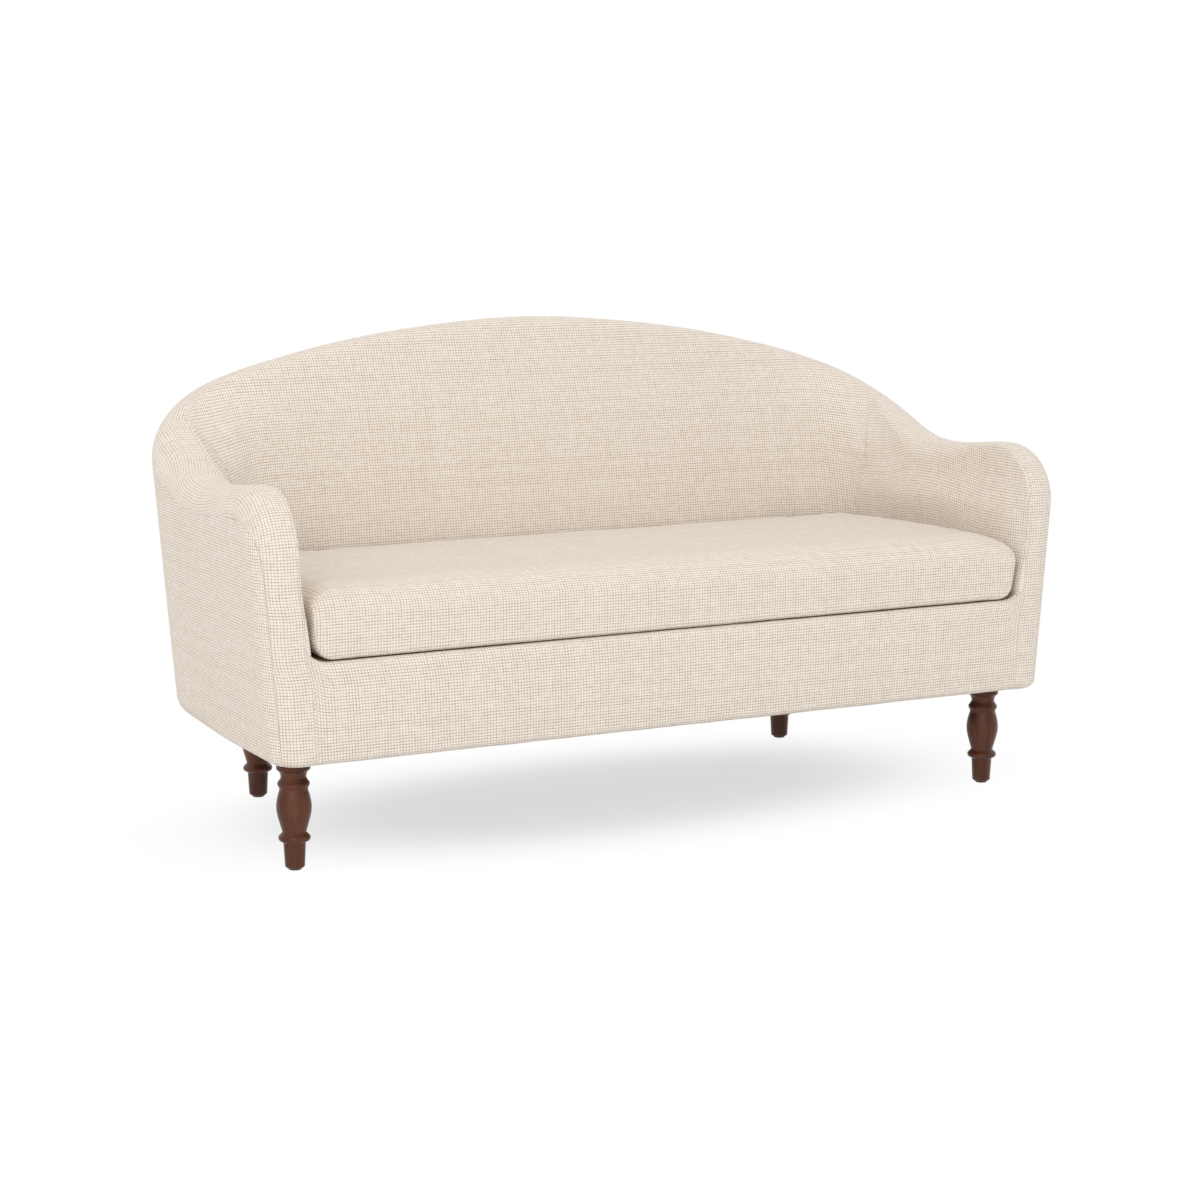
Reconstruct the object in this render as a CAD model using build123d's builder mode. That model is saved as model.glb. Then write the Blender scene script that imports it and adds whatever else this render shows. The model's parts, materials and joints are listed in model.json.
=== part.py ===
"""Upholstered settee with a flared tub body, an arched back, one loose bench cushion and four turned legs.

Millimetres, +Z up, front towards -Y. The origin lies on the floor under the middle of the bounding box.
"""
import math
import os

from build123d import *

# Body in plan, taken at its underside
front_leg_half_spacing = 670.5
front_leg_side_inset = 61.5
half_width = front_leg_half_spacing + front_leg_side_inset
overall_depth = 682.0
corner_radius = 199.0
back_radius = 8360.0
back_build = 141.396

# Heights above the floor
leg_height = 187.5
deck_height = 351.5
cushion_thickness = 101.5
seat_height = deck_height + cushion_thickness
overall_height = 840.5

# Crest: height of the top line, and where along the body it has that height
arm_front_height = 621.0
arm_dip_height = 607.5
arm_dip_place = 270.0
corner_start_height = 640.5
corner_mid_height = 717.0
corner_end_height = 766.5
shoulder_height = 808.0
shoulder_place = 356.0
crown_height = 832.0
crown_place = 164.0

# Lean of the walls, in millimetres sideways per millimetre of height
arm_flare = 0.082
back_flare = 0.034
arm_inner_lean = 0.047

# Thickness of the arms at the underside, at their fronts and at the creases beside the back
arm_front_thickness = 58.0
arm_crease_thickness = 68.0
arm_inner_front = half_width - arm_front_thickness
arm_inner_crease = half_width - arm_crease_thickness
crease_angle = 27.0

# Boxing band that runs up the arm fronts and along the top
nose_radius = 105.0
roll_radius = 47.0
seam_edge = 6.0
band_pad = 20.0
band_side = 20.0
back_band_width = 65.0

# Covers and pads
cover_thickness = 3.5
underside_radius = 26.0
border_thickness = 26.0
arm_pad_tuck = 22.0
back_pad_top = 16.0
back_pad_seat = 45.0
back_pad_crease = 10.0
deck_cloth_thickness = 1.5

# Timber
rail_inset = 5.0
rail_thickness = 30.0
deck_build = 51.5
rail_top = deck_height - deck_build
board_thickness = 24.0
top_rail_depth = 60.0
post_width = 30.0
back_post_width = 40.0
back_post_angle = 45.0
tack_rail_lift = 16.0
tack_rail_bottom = rail_top + tack_rail_lift
tack_rail_height = 30.0
tack_setback = 5.2
upright_width = 46.0
upright_first = 152.0
upright_spacing = 304.0
stretcher_spacing = 470.0
stretcher_width = 44.0
stretcher_height = 50.0
block_size = 130.0
rail_round = 21.0
rail_end_chamfer = 6.0
post_cut = 16.0
block_height = 60.0

# Springs and webbing
spring_wire = 3.8
spring_count = 8
spring_spacing = 152.0
spring_half_width = 24.0
spring_pitch = 23.0
spring_bend = 9.0
clip_length = 24.0
clip_width = 16.0
clip_plate = 2.0
tie_wire = 2.6
tie_spacing = 190.0
tie_length = 1130.0
strap_width = 40.0
strap_thickness = 1.6
strap_count = 6
strap_spacing = 160.0
arm_strap_count = 3

# Legs and their hardware
front_leg_setback = 99.0
back_leg_corner_reach = 158.528
back_leg_side_inset = 187.0
back_leg_half_spacing = half_width - back_leg_side_inset
plate_size = 56.0
plate_thickness = 3.5
plate_back_shift = 20.0
plate_screw_spacing = 40.0
screw_diameter = 4.0
screw_sink = 2.0
screw_length = 16.0
bolt_diameter = 8.0
bolt_in_leg = 32.0
bolt_in_block = 26.0
leg_foot_diameter = 32.0
leg_ankle_diameter = 36.0
leg_ankle_height = 42.0
leg_ring_diameter = 52.0
leg_ring_height = 52.5
leg_ring_thickness = 9.0
leg_neck_diameter = 38.5
leg_neck_height = 61.5
leg_vase_diameter = 57.0
leg_vase_height = 103.5
leg_shoulder_diameter = 46.0
leg_shoulder_height = 131.0
leg_bead_diameter = 52.0
leg_bead_height = 141.0
leg_bead_thickness = 10.0
leg_cove_diameter = 41.0
leg_cove_height = 151.5
leg_top_diameter = 55.0
leg_top_thickness = 22.0
foot_chamfer = 2.0
glide_diameter = 22.0
glide_thickness = 3.5
glide_pin = 3.0
glide_pin_length = 14.0

# Underside cloth
dust_cover_thickness = 0.8
dust_cover_inset = 27.0

# Seat cushion
cushion_side_gap = 4.0
cushion_back_gap = 6.0
cushion_front_gap = 1.0
cushion_crown = 9.0
cushion_end_crown = 2.0
cushion_bulge = 0.8
cushion_end_round = 22.0
cushion_edge_radius = 24.0
zip_length = 900.0
zip_tape_height = 26.0
zip_tape_thickness = 1.2
slider_length = 11.0
slider_height = 8.0
slider_thickness = 2.6
pull_length = 18.0
pull_width = 5.0

# Clearances
seam_gap = 0.4
wood_gap = 0.2
lift_gap = 0.6
bore_gap = 0.15

os.makedirs("parts", exist_ok=True)

front = -overall_depth / 2
rail_bottom = leg_height + plate_thickness + wood_gap


def curve(knots, first_slope, last_slope):
    """Smooth curve through (place, value) knots with the two given end slopes."""
    places = [place for place, _ in knots]
    values = [value for _, value in knots]
    count = len(knots)
    steps = [places[i + 1] - places[i] for i in range(count - 1)]
    rises = [(values[i + 1] - values[i]) / steps[i] for i in range(count - 1)]
    diagonal = [1.0] + [2.0 * (steps[i - 1] + steps[i]) for i in range(1, count - 1)] + [1.0]
    upper = [0.0] + [steps[i - 1] for i in range(1, count - 1)]
    lower = [0.0] + [steps[i] for i in range(1, count - 1)] + [0.0]
    right = [first_slope]
    right += [3.0 * (steps[i] * rises[i - 1] + steps[i - 1] * rises[i]) for i in range(1, count - 1)]
    right += [last_slope]
    for i in range(1, count):
        factor = lower[i] / diagonal[i - 1]
        diagonal[i] -= factor * upper[i - 1]
        right[i] -= factor * right[i - 1]
    slopes = [0.0] * count
    slopes[-1] = right[-1] / diagonal[-1]
    for i in range(count - 2, -1, -1):
        slopes[i] = (right[i] - upper[i] * slopes[i + 1]) / diagonal[i]

    def value_at(place):
        i = 0
        while i < count - 2 and place > places[i + 1]:
            i += 1
        step = steps[i]
        t = (place - places[i]) / step
        return (
            values[i] * (1 + 2 * t) * (1 - t) ** 2
            + slopes[i] * step * t * (1 - t) ** 2
            + values[i + 1] * t * t * (3 - 2 * t)
            - slopes[i + 1] * step * t * t * (1 - t)
        )

    return value_at


# Plan of the body: straight arm, corner arc and the large arc of the back, each tangent to the next
back_rise = back_flare * (overall_height - roll_radius - leg_height)
back_middle = overall_depth / 2 - back_rise
corner_x = half_width - corner_radius
corner_y = back_middle - back_radius + math.sqrt((back_radius - corner_radius) ** 2 - corner_x**2)
back_half_angle = math.asin(corner_x / (back_radius - corner_radius))
corner_turn = math.pi / 2 - back_half_angle
arm_run = corner_y - front
corner_run = corner_radius * corner_turn
back_run = back_radius * back_half_angle
half_run = arm_run + corner_run + back_run
crease_run = arm_run + corner_radius * math.radians(crease_angle)
seat_back = back_middle - back_build


def plan(run):
    """Point and outward angle on the right half of the underside line, at a run from the arm front."""
    if run <= arm_run:
        return half_width, front + run, 0.0
    if run <= arm_run + corner_run:
        angle = (run - arm_run) / corner_radius
        return corner_x + corner_radius * math.cos(angle), corner_y + corner_radius * math.sin(angle), angle
    angle = corner_turn + (run - arm_run - corner_run) / back_radius
    return back_radius * math.cos(angle), back_middle + back_radius * (math.sin(angle) - 1), angle


def flare(run):
    """Outward lean of the outside wall at a run."""
    angle = plan(run)[2]
    return arm_flare * math.cos(angle) ** 2 + back_flare * math.sin(angle) ** 2


def wall_plane(run):
    """Upright plane across the wall: its x points outward and its y points up."""
    x, y, angle = plan(run)
    across = (math.cos(angle), math.sin(angle), 0)
    return Plane(origin=(x, y, 0), x_dir=across, z_dir=(across[1], -across[0], 0))


crest = curve(
    [
        (nose_radius, arm_front_height),
        (arm_dip_place, arm_dip_height),
        (arm_run, corner_start_height),
        (arm_run + corner_run / 2, corner_mid_height),
        (arm_run + corner_run, corner_end_height),
        (half_run - shoulder_place, shoulder_height),
        (half_run - crown_place, crown_height),
        (half_run, overall_height),
    ],
    -0.03,
    0.0,
)
nose_height = arm_front_height - nose_radius


def top(run, inset=0.0):
    """Height of the top line at a run, or of the line that lies a given inset below it."""
    if run < nose_radius:
        return nose_height + math.sqrt(max((nose_radius - inset) ** 2 - (nose_radius - run) ** 2, 0.0))
    return crest(run) - inset


def outer(run, z):
    """Outward offset of the outside face at a height, from the underside line."""
    return flare(run) * (z - leg_height)


def arm_inner(run, z):
    """Distance of the arm's inside face from the middle of the settee."""
    share = min(run / crease_run, 1.0)
    return arm_inner_front + (arm_inner_crease - arm_inner_front) * share + arm_inner_lean * (z - leg_height)


def arm_wall(run, z):
    """Thickness of the arm, square to the outside line, at a height."""
    x, y, angle = plan(run)
    return outer(run, z) + (x - arm_inner(run, z)) / math.cos(angle)


def band_width(run):
    """Width of the band: it spans the arm, then eases from the crease to its width on the back."""
    place = max(min(run, crease_run), nose_radius)
    width = arm_wall(place, crest(place) - roll_radius)
    if run > crease_run:
        share = min((run - crease_run) / (arm_run + corner_run - crease_run), 1.0)
        width += (back_band_width - width) * share * share * (3 - 2 * share)
    return width


def runs(first, last, count):
    """Evenly spaced runs from first to last."""
    return [first + (last - first) * i / (count - 1) for i in range(count)]


def band_face(plane, outer_edge, width):
    """Section of the boxing band: rolled outside, flat top, tight seam inside. The plane starts on the crest."""
    centre = outer_edge - roll_radius
    inner_edge = outer_edge - width
    diagonal = math.sqrt(0.5)
    with BuildSketch(plane) as face:
        with BuildLine():
            ThreePointArc(
                (outer_edge, -roll_radius),
                (centre + roll_radius * diagonal, roll_radius * (diagonal - 1)),
                (centre, 0),
            )
            Line((centre, 0), (inner_edge + seam_edge, 0))
            ThreePointArc(
                (inner_edge + seam_edge, 0),
                (inner_edge + seam_edge * (1 - diagonal), seam_edge * (diagonal - 1)),
                (inner_edge, -seam_edge),
            )
            Polyline(
                (inner_edge, -seam_edge),
                (inner_edge, -band_pad),
                (outer_edge - band_side, -band_pad),
                (outer_edge - band_side, -roll_radius),
                (outer_edge, -roll_radius),
            )
        make_face()
    return face.sketch


def top_band_faces(places):
    """Band sections across the top at a list of runs."""
    faces = []
    for run in places:
        flat = wall_plane(run)
        plane = Plane(origin=flat.origin + Vector(0, 0, crest(run)), x_dir=flat.x_dir, z_dir=flat.z_dir)
        faces.append(band_face(plane, outer(run, crest(run) - roll_radius), band_width(run)))
    return faces


def front_band_faces():
    """Band sections up the arm front and round its nose, from the underside."""
    faces = []
    for z in (leg_height, deck_height, nose_height):
        plane = Plane(origin=(half_width, front, z), x_dir=(1, 0, 0), z_dir=(0, 0, -1))
        faces.append(band_face(plane, outer(0, z), arm_wall(0, z)))
    steps = 10
    for i in range(1, steps):
        angle = math.pi / 2 * i / steps
        away = Vector(0, -math.cos(angle), math.sin(angle))
        origin = Vector(half_width, front + nose_radius, nose_height) + away * nose_radius
        plane = Plane(origin=origin, x_dir=(1, 0, 0), z_dir=Vector(1, 0, 0).cross(away))
        z = nose_height + (nose_radius - roll_radius) * away.Z
        faces.append(band_face(plane, outer(0, z), arm_wall(nose_radius * (1 + away.Y), z)))
    return faces


def frame_outer(run, z):
    """Outside face of the arm and back timber: it stays clear of the band's rolled side."""
    if run < nose_radius and z > nose_height:
        z = nose_height + (z - nose_height) * (nose_radius - roll_radius) / nose_radius
    elif run >= nose_radius:
        z = min(z, crest(run) - roll_radius)
    return outer(run, z) - band_side - seam_gap


def frame_inner(run, z):
    """Inside face of the arm and back timber."""
    return frame_outer(run, z) - board_thickness


def top_rail_bottom(run):
    """Underside of the timber below the band."""
    return crest(max(run, nose_radius)) - band_pad - seam_gap - top_rail_depth


def wall_loft(places, points_at):
    """Solid through closed outlines drawn on the wall planes at a list of runs."""
    with BuildPart() as piece:
        for run in places:
            with BuildSketch(wall_plane(run)):
                with BuildLine():
                    Polyline(*points_at(run), close=True)
                make_face()
        loft(ruled=True)
    return piece.part


def board_points(run, low, high):
    """Section of a board in the frame's layer of the wall, between two heights."""
    return (
        (frame_inner(run, low), low),
        (frame_outer(run, low), low),
        (frame_outer(run, high), high),
        (frame_inner(run, high), high),
    )


def write(piece, name):
    """Label a finished piece and write it to its own file."""
    piece.label = name
    export_step(piece, f"parts/{name}.step")


def write_pair(right, name):
    """Write a right-hand piece and its mirror image on the left."""
    write(right, f"{name}_right")
    with BuildPart() as left:
        mirror(right, about=Plane.YZ)
    write(left.part, f"{name}_left")


# Boxing bands: one up each arm front and along the arm, one across the back
corner_end = arm_run + corner_run
joint_run = arm_run + corner_radius * math.radians(back_post_angle)
straight_places = runs(nose_radius, arm_run, 7)
crease_places = runs(arm_run, crease_run, 6)
joint_places = runs(crease_run, joint_run, 5)
end_places = runs(joint_run, corner_end, 8)
middle_places = runs(corner_end, half_run, 8)
arm_places = straight_places + crease_places[1:-1] + [crease_run - seam_gap / 2]
back_places = [crease_run + seam_gap / 2] + joint_places[1:] + end_places[1:] + middle_places[1:]

with BuildPart() as arm_band:
    for face in front_band_faces() + top_band_faces(arm_places):
        add(face)
    loft(ruled=True)
write_pair(arm_band.part, "arm_band")

with BuildPart() as back_band:
    for face in top_band_faces(back_places):
        add(face)
    loft(ruled=True)
    mirror(about=Plane.YZ)
write(back_band.part, "back_band")


def cover_face(run):
    """Section of an outside cover, from its turn under the body up to the band's outer seam."""
    low = leg_height + underside_radius
    foot = outer(run, low)
    centre = foot - underside_radius
    seam = top(run, roll_radius + seam_gap)
    inside = underside_radius - cover_thickness
    diagonal = math.sqrt(0.5)
    with BuildSketch(wall_plane(run)) as face:
        with BuildLine():
            ThreePointArc(
                (centre, leg_height),
                (centre + underside_radius * diagonal, low - underside_radius * diagonal),
                (foot, low),
            )
            Polyline(
                (foot, low),
                (outer(run, seam), seam),
                (outer(run, seam) - cover_thickness, seam),
                (foot - cover_thickness, low),
            )
            ThreePointArc(
                (foot - cover_thickness, low),
                (centre + inside * diagonal, low - inside * diagonal),
                (centre, low - inside),
            )
            Line((centre, low - inside), (centre, leg_height))
        make_face()
    return face.sketch


# Outside covers: the arm's runs round the corner to a seam where the outside back begins
nose_steps = [roll_radius + (nose_radius - roll_radius) * (1 - math.cos(math.radians(a))) for a in (3, 25, 45, 65)]
outside_arm_places = nose_steps + straight_places + crease_places[1:] + joint_places[1:]
outside_arm_places += end_places[1:-1] + [corner_end - seam_gap / 2]

with BuildPart() as outside_arm:
    for run in outside_arm_places:
        add(cover_face(run))
    loft(ruled=True)
write_pair(outside_arm.part, "outside_arm")

with BuildPart() as outside_back:
    for run in [corner_end + seam_gap / 2] + middle_places[1:]:
        add(cover_face(run))
    loft(ruled=True)
    mirror(about=Plane.YZ)
write(outside_back.part, "outside_back")

# Inside arm pads, from behind the facing to the crease beside the back
pad_low = deck_height - arm_pad_tuck


def arm_pad_points(run):
    """Section of the inside arm pad between the deck and the band."""
    high = top(run, band_pad + seam_gap)
    behind = strap_thickness + 2 * seam_gap
    if run < nose_radius:
        edge = outer(run, high) - arm_wall(run, high)
    else:
        edge = outer(run, crest(run) - roll_radius) - band_width(run)
    return (
        (outer(run, pad_low) - arm_wall(run, pad_low), pad_low),
        (frame_inner(run, pad_low) - behind, pad_low),
        (frame_inner(run, high) - behind, high),
        (edge, high),
    )


pad_front = band_pad + seam_gap
pad_nose = [pad_front + (nose_radius - pad_front) * (1 - math.cos(math.radians(a))) for a in (5, 30, 50, 70)]
inside_arm_places = pad_nose + arm_places
inside_arm = wall_loft(inside_arm_places, arm_pad_points)
write_pair(inside_arm, "inside_arm")

# Inside back pad between the two creases: upright at the seat, reclined above it
def inner_edge(run):
    """Point where the band's inner seam passes over the inside back."""
    x, y, angle = plan(run)
    reach = outer(run, crest(run) - roll_radius) - band_width(run)
    return x + reach * math.cos(angle), y + reach * math.sin(angle), crest(run) - band_pad - seam_gap


crease_top = inner_edge(crease_run)
crease_low = arm_inner_crease + arm_inner_lean * (pad_low - leg_height)
recline_start = seat_height - cushion_crown


def back_pad_depth(x):
    """Depth of the back pad at the seat: it thins from the flat of the back towards the crease."""
    share = min(max((abs(x) - corner_x) / (crease_low - corner_x), 0.0), 1.0)
    return back_pad_seat + (back_pad_crease - back_pad_seat) * share


def back_pad_face(run):
    """Section of the inside back, on a plane that leans with the crease."""
    x, y, high = inner_edge(run)
    x -= seam_gap * x / crease_top[0]
    low_x = x * (crease_low - seam_gap) / (crease_top[0] - seam_gap)
    rise = Vector(x - low_x, 0, high - pad_low)
    stretch = rise.length / (high - pad_low)
    depth = back_pad_depth(low_x)
    plane = Plane(origin=(low_x, 0, pad_low), x_dir=(0, 1, 0), z_dir=Vector(0, 1, 0).cross(rise))
    with BuildSketch(plane) as face:
        with BuildLine():
            Polyline(
                (seat_back, 0),
                (seat_back, (recline_start - pad_low) * stretch),
                (y, (high - pad_low) * stretch),
                (y + back_pad_top, (high - pad_low) * stretch),
                (seat_back + depth, 0),
                close=True,
            )
        make_face()
    return face.sketch


with BuildPart() as inside_back:
    for run in back_places:
        add(back_pad_face(run))
    loft(ruled=True)
    mirror(about=Plane.YZ)
write(inside_back.part, "inside_back")

# Front border over the front rail, between the two facings
border_back = front + border_thickness
with BuildPart() as front_border:
    with BuildSketch(Plane.XZ.offset(-border_back)):
        with BuildLine():
            low_end = arm_inner(border_thickness, leg_height) - seam_gap
            high_end = arm_inner(border_thickness, deck_height) - seam_gap
            Polyline(
                (-low_end, leg_height),
                (low_end, leg_height),
                (high_end, deck_height),
                (-high_end, deck_height),
                close=True,
            )
        make_face()
    extrude(amount=border_thickness)
    front_edges = front_border.edges().filter_by(Axis.X).group_by(Axis.Y)[0].sort_by(Axis.Z)
    fillet(front_edges[0], min(underside_radius, border_thickness) - 1)
    top_edges = front_border.edges().filter_by(Axis.X).group_by(Axis.Z)[-1].sort_by(Axis.Y)
    fillet(top_edges[0], seam_edge)
write(front_border.part, "front_border")


def underside_face(inset, begin):
    """Plan of the body at an inset from its outside line, from a front edge at the given y."""
    reach = half_width - inset
    radius = corner_radius - inset
    end = (corner_x + radius * math.cos(corner_turn), corner_y + radius * math.sin(corner_turn))
    middle_angle = corner_turn / 2
    middle = (corner_x + radius * math.cos(middle_angle), corner_y + radius * math.sin(middle_angle))
    with BuildSketch() as face:
        with BuildLine():
            Line((-reach, begin), (reach, begin))
            Line((reach, begin), (reach, corner_y))
            ThreePointArc((reach, corner_y), middle, end)
            ThreePointArc(end, (0, back_middle - inset), (-end[0], end[1]))
            ThreePointArc((-end[0], end[1]), (-middle[0], middle[1]), (-reach, corner_y))
            Line((-reach, corner_y), (-reach, begin))
        make_face()
    return face.sketch


# Seat rails: front, sides, curved corners and back, glued up to one ring
rail_front = border_back + wood_gap
rail_back = rail_front + rail_thickness
rail_height = rail_top - rail_bottom
rail_inner = rail_inset + rail_thickness
ring_start = rail_back + wood_gap
ring = underside_face(rail_inset, ring_start) - underside_face(rail_inner, ring_start - rail_thickness)


def rail_piece(x_low, x_high, y_low, y_high):
    """Part of the rail ring inside a rectangle, with its outside lower edge rounded for the cover."""
    with BuildPart() as piece:
        with BuildSketch(Plane.XY.offset(rail_bottom)):
            add(ring)
            with Locations(((x_low + x_high) / 2, (y_low + y_high) / 2)):
                Rectangle(x_high - x_low, y_high - y_low, mode=Mode.INTERSECT)
        extrude(amount=rail_height)
    return piece


far = overall_depth
rail_line = corner_radius - rail_inset - rail_thickness / 2
with BuildPart() as front_rail:
    front_reach = half_width - band_side - seam_gap
    with BuildSketch(Plane.XY.offset(rail_bottom)):
        with Locations((0, (rail_front + rail_back) / 2)):
            Rectangle(2 * front_reach, rail_thickness)
    extrude(amount=rail_height)
    chamfer(front_rail.edges().filter_by(Axis.Y).group_by(Axis.Z)[0], rail_end_chamfer)
write(front_rail.part, "front_rail")

side_rail = rail_piece(corner_x, half_width, ring_start, corner_y - wood_gap / 2)
with side_rail:
    fillet(side_rail.edges().filter_by(Axis.Y).group_by(Axis.Z)[0].sort_by(Axis.X)[-1], rail_round)
write_pair(side_rail.part, "side_rail")

corner_rail = rail_piece(corner_x + wood_gap / 2, half_width, corner_y + wood_gap / 2, far)
with corner_rail:
    low_arcs = corner_rail.edges().filter_by(GeomType.CIRCLE).group_by(Axis.Z)[0]
    corner_low = Vector(corner_x, corner_y, rail_bottom)
    outside_arcs = low_arcs.filter_by(lambda arc: (arc @ 0.5 - corner_low).length > rail_line)
    fillet(outside_arcs, rail_round)
write_pair(corner_rail.part, "corner_rail")

back_rail = rail_piece(-corner_x + wood_gap / 2, corner_x - wood_gap / 2, corner_y, far)
with back_rail:
    fillet(back_rail.edges().filter_by(GeomType.CIRCLE).group_by(Axis.Z)[0].sort_by(Axis.Y)[-1], rail_round)
write(back_rail.part, "back_rail")


# Arm front posts: their tops are cut back under the round of the arm front
post_front = front + band_pad + seam_gap
post_back = post_front + post_width
post_low = rail_top + wood_gap
post_high = top_rail_bottom(nose_radius) - wood_gap - board_thickness * arm_flare
arm_slope = Vector(arm_flare, 0, 1).normalized()
post_origin = Vector(half_width + frame_outer(0, leg_height), 0, leg_height)
post_plane = Plane(origin=post_origin, x_dir=(0, 1, 0), z_dir=Vector(0, 1, 0).cross(arm_slope))
post_stretch = math.hypot(1, arm_flare)
with BuildPart() as arm_post:
    with BuildSketch(post_plane):
        with BuildLine():
            Polyline(
                (post_front, (post_low - leg_height) * post_stretch),
                (post_back, (post_low - leg_height) * post_stretch),
                (post_back, (post_high - leg_height) * post_stretch),
                (post_front + post_cut, (post_high - leg_height) * post_stretch),
                (post_front, (nose_height - leg_height) * post_stretch - post_cut),
                close=True,
            )
        make_face()
    extrude(amount=-board_thickness)
write_pair(arm_post.part, "arm_post")

# Top rails under the band, meeting over the back posts
rail_start = band_pad + seam_gap + post_cut


def top_rail_points(run):
    """Section of the shaped rail under the band."""
    return board_points(run, top_rail_bottom(run), top(run, band_pad + seam_gap))


arm_rail_places = [rail_start, (rail_start + nose_radius) / 2] + straight_places + crease_places[1:]
arm_rail_places += joint_places[1:-1] + [joint_run - wood_gap]
write_pair(wall_loft(arm_rail_places, top_rail_points), "arm_top_rail")

back_rail_places = [joint_run + wood_gap] + end_places[1:] + middle_places[1:]
with BuildPart() as back_top_rail:
    add(wall_loft(back_rail_places, top_rail_points))
    mirror(about=Plane.YZ)
write(back_top_rail.part, "back_top_rail")

# Back posts on the corner rails
post_places = runs(joint_run - back_post_width / 2, joint_run + back_post_width / 2, 3)


def back_post_points(run):
    """Section of a back post, from the corner rail up to the top rail."""
    return board_points(run, post_low, top_rail_bottom(run) - 2 * seam_gap)


write_pair(wall_loft(post_places, back_post_points), "back_post")

# Tack rails: strips above the deck that the inside covers are pulled down to
tack_high = tack_rail_bottom + tack_rail_height
arm_tack_places = runs(post_back + wood_gap - front, arm_run, 5) + crease_places[1:]
arm_tack_places += [post_places[0] - seam_gap]
arm_tack_rail = wall_loft(arm_tack_places, lambda run: board_points(run, tack_rail_bottom, tack_high))
write_pair(arm_tack_rail, "arm_tack_rail")

tack_front = seat_back + back_pad_seat + strap_thickness + tack_setback
tack_back = tack_front + board_thickness
post_angle = math.radians(back_post_angle)
post_inner = corner_radius + frame_inner(joint_run, tack_rail_bottom)
tack_reach = corner_x + post_inner * math.cos(post_angle) - back_post_width / 2 * math.sin(post_angle) - 1
with BuildPart() as back_tack_rail:
    with BuildSketch(Plane.XY.offset(tack_rail_bottom)):
        with Locations((0, (tack_front + tack_back) / 2)):
            Rectangle(2 * tack_reach, board_thickness)
    extrude(amount=tack_rail_height)
write(back_tack_rail.part, "back_tack_rail")


def upright_points(run):
    """Section of a back upright: wide on the back rail, tapering up to the top rail."""
    x, y, angle = plan(run)
    high = top_rail_bottom(run) - 2 * seam_gap
    return (
        (tack_back + wood_gap - y, post_low),
        (frame_outer(run, post_low), post_low),
        (frame_outer(run, high), high),
        (frame_inner(run, high), high),
    )


with BuildPart() as back_uprights:
    for place in (upright_first, upright_first + upright_spacing):
        middle = half_run - place
        add(wall_loft(runs(middle - upright_width / 2, middle + upright_width / 2, 2), upright_points))
    mirror(about=Plane.YZ)
write(back_uprights.part, "back_uprights")


def back_rail_front(x):
    """Inside face of the back rail at a distance from the middle."""
    return back_middle - back_radius + math.sqrt((back_radius - rail_inner) ** 2 - x**2)


# Stretchers under the springs, from the front rail to the back rail
stretcher_end = back_rail_front(stretcher_spacing / 2 + stretcher_width / 2) - wood_gap
with BuildPart() as seat_stretchers:
    with BuildSketch(Plane.XY.offset(rail_bottom)):
        with Locations((0, (ring_start + stretcher_end) / 2)):
            with GridLocations(stretcher_spacing, 1, 2, 1):
                Rectangle(stretcher_width, stretcher_end - ring_start)
    extrude(amount=stretcher_height)
write(seat_stretchers.part, "seat_stretchers")

# Corner blocks that take the leg bolts
front_leg_y = front + front_leg_setback
back_leg_y = corner_y + back_leg_corner_reach
leg_places = [(front_leg_half_spacing, front_leg_y), (back_leg_half_spacing, back_leg_y)]
leg_corners = [(x, y) for x, y in leg_places] + [(-x, y) for x, y in leg_places]
plate_centres = [
    (front_leg_half_spacing, front_leg_y),
    (back_leg_half_spacing, back_leg_y - plate_back_shift),
]
plate_corners = plate_centres + [(-x, y) for x, y in plate_centres]
bolt_hole = bolt_diameter / 2 + bore_gap
screw_hole = screw_diameter / 2 + bore_gap
pilot_depth = screw_length - plate_thickness + 1
inside_plan = underside_face(rail_inner + wood_gap, ring_start)
block_x = half_width - rail_inner - wood_gap
with BuildPart() as front_block:
    with BuildSketch(Plane.XY.offset(rail_bottom)):
        with BuildLine():
            Polyline(
                (block_x, ring_start),
                (block_x, ring_start + block_size),
                (block_x - block_size, ring_start),
                close=True,
            )
        make_face()
        with Locations(leg_places[0]):
            Circle(bolt_hole, mode=Mode.SUBTRACT)
    extrude(amount=block_height)
    with BuildSketch(Plane.XY.offset(rail_bottom)):
        with Locations(plate_centres[0]):
            with GridLocations(plate_screw_spacing, plate_screw_spacing, 2, 2):
                Circle(screw_hole)
    extrude(amount=pilot_depth, mode=Mode.SUBTRACT)
with BuildPart() as back_block:
    with BuildSketch(Plane.XY.offset(rail_bottom)):
        add(inside_plan)
        with Locations((back_leg_half_spacing, back_leg_y - block_size / 4)):
            Rectangle(block_size, block_size, mode=Mode.INTERSECT)
        with Locations(leg_places[1]):
            Circle(bolt_hole, mode=Mode.SUBTRACT)
    extrude(amount=block_height)
    with BuildSketch(Plane.XY.offset(rail_bottom)):
        with Locations(plate_centres[1]):
            with GridLocations(plate_screw_spacing, plate_screw_spacing, 2, 2):
                Circle(screw_hole)
    extrude(amount=pilot_depth, mode=Mode.SUBTRACT)
with BuildPart() as corner_blocks:
    add(front_block.part)
    add(back_block.part)
    mirror(about=Plane.YZ)
write(corner_blocks.part, "corner_blocks")


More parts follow.
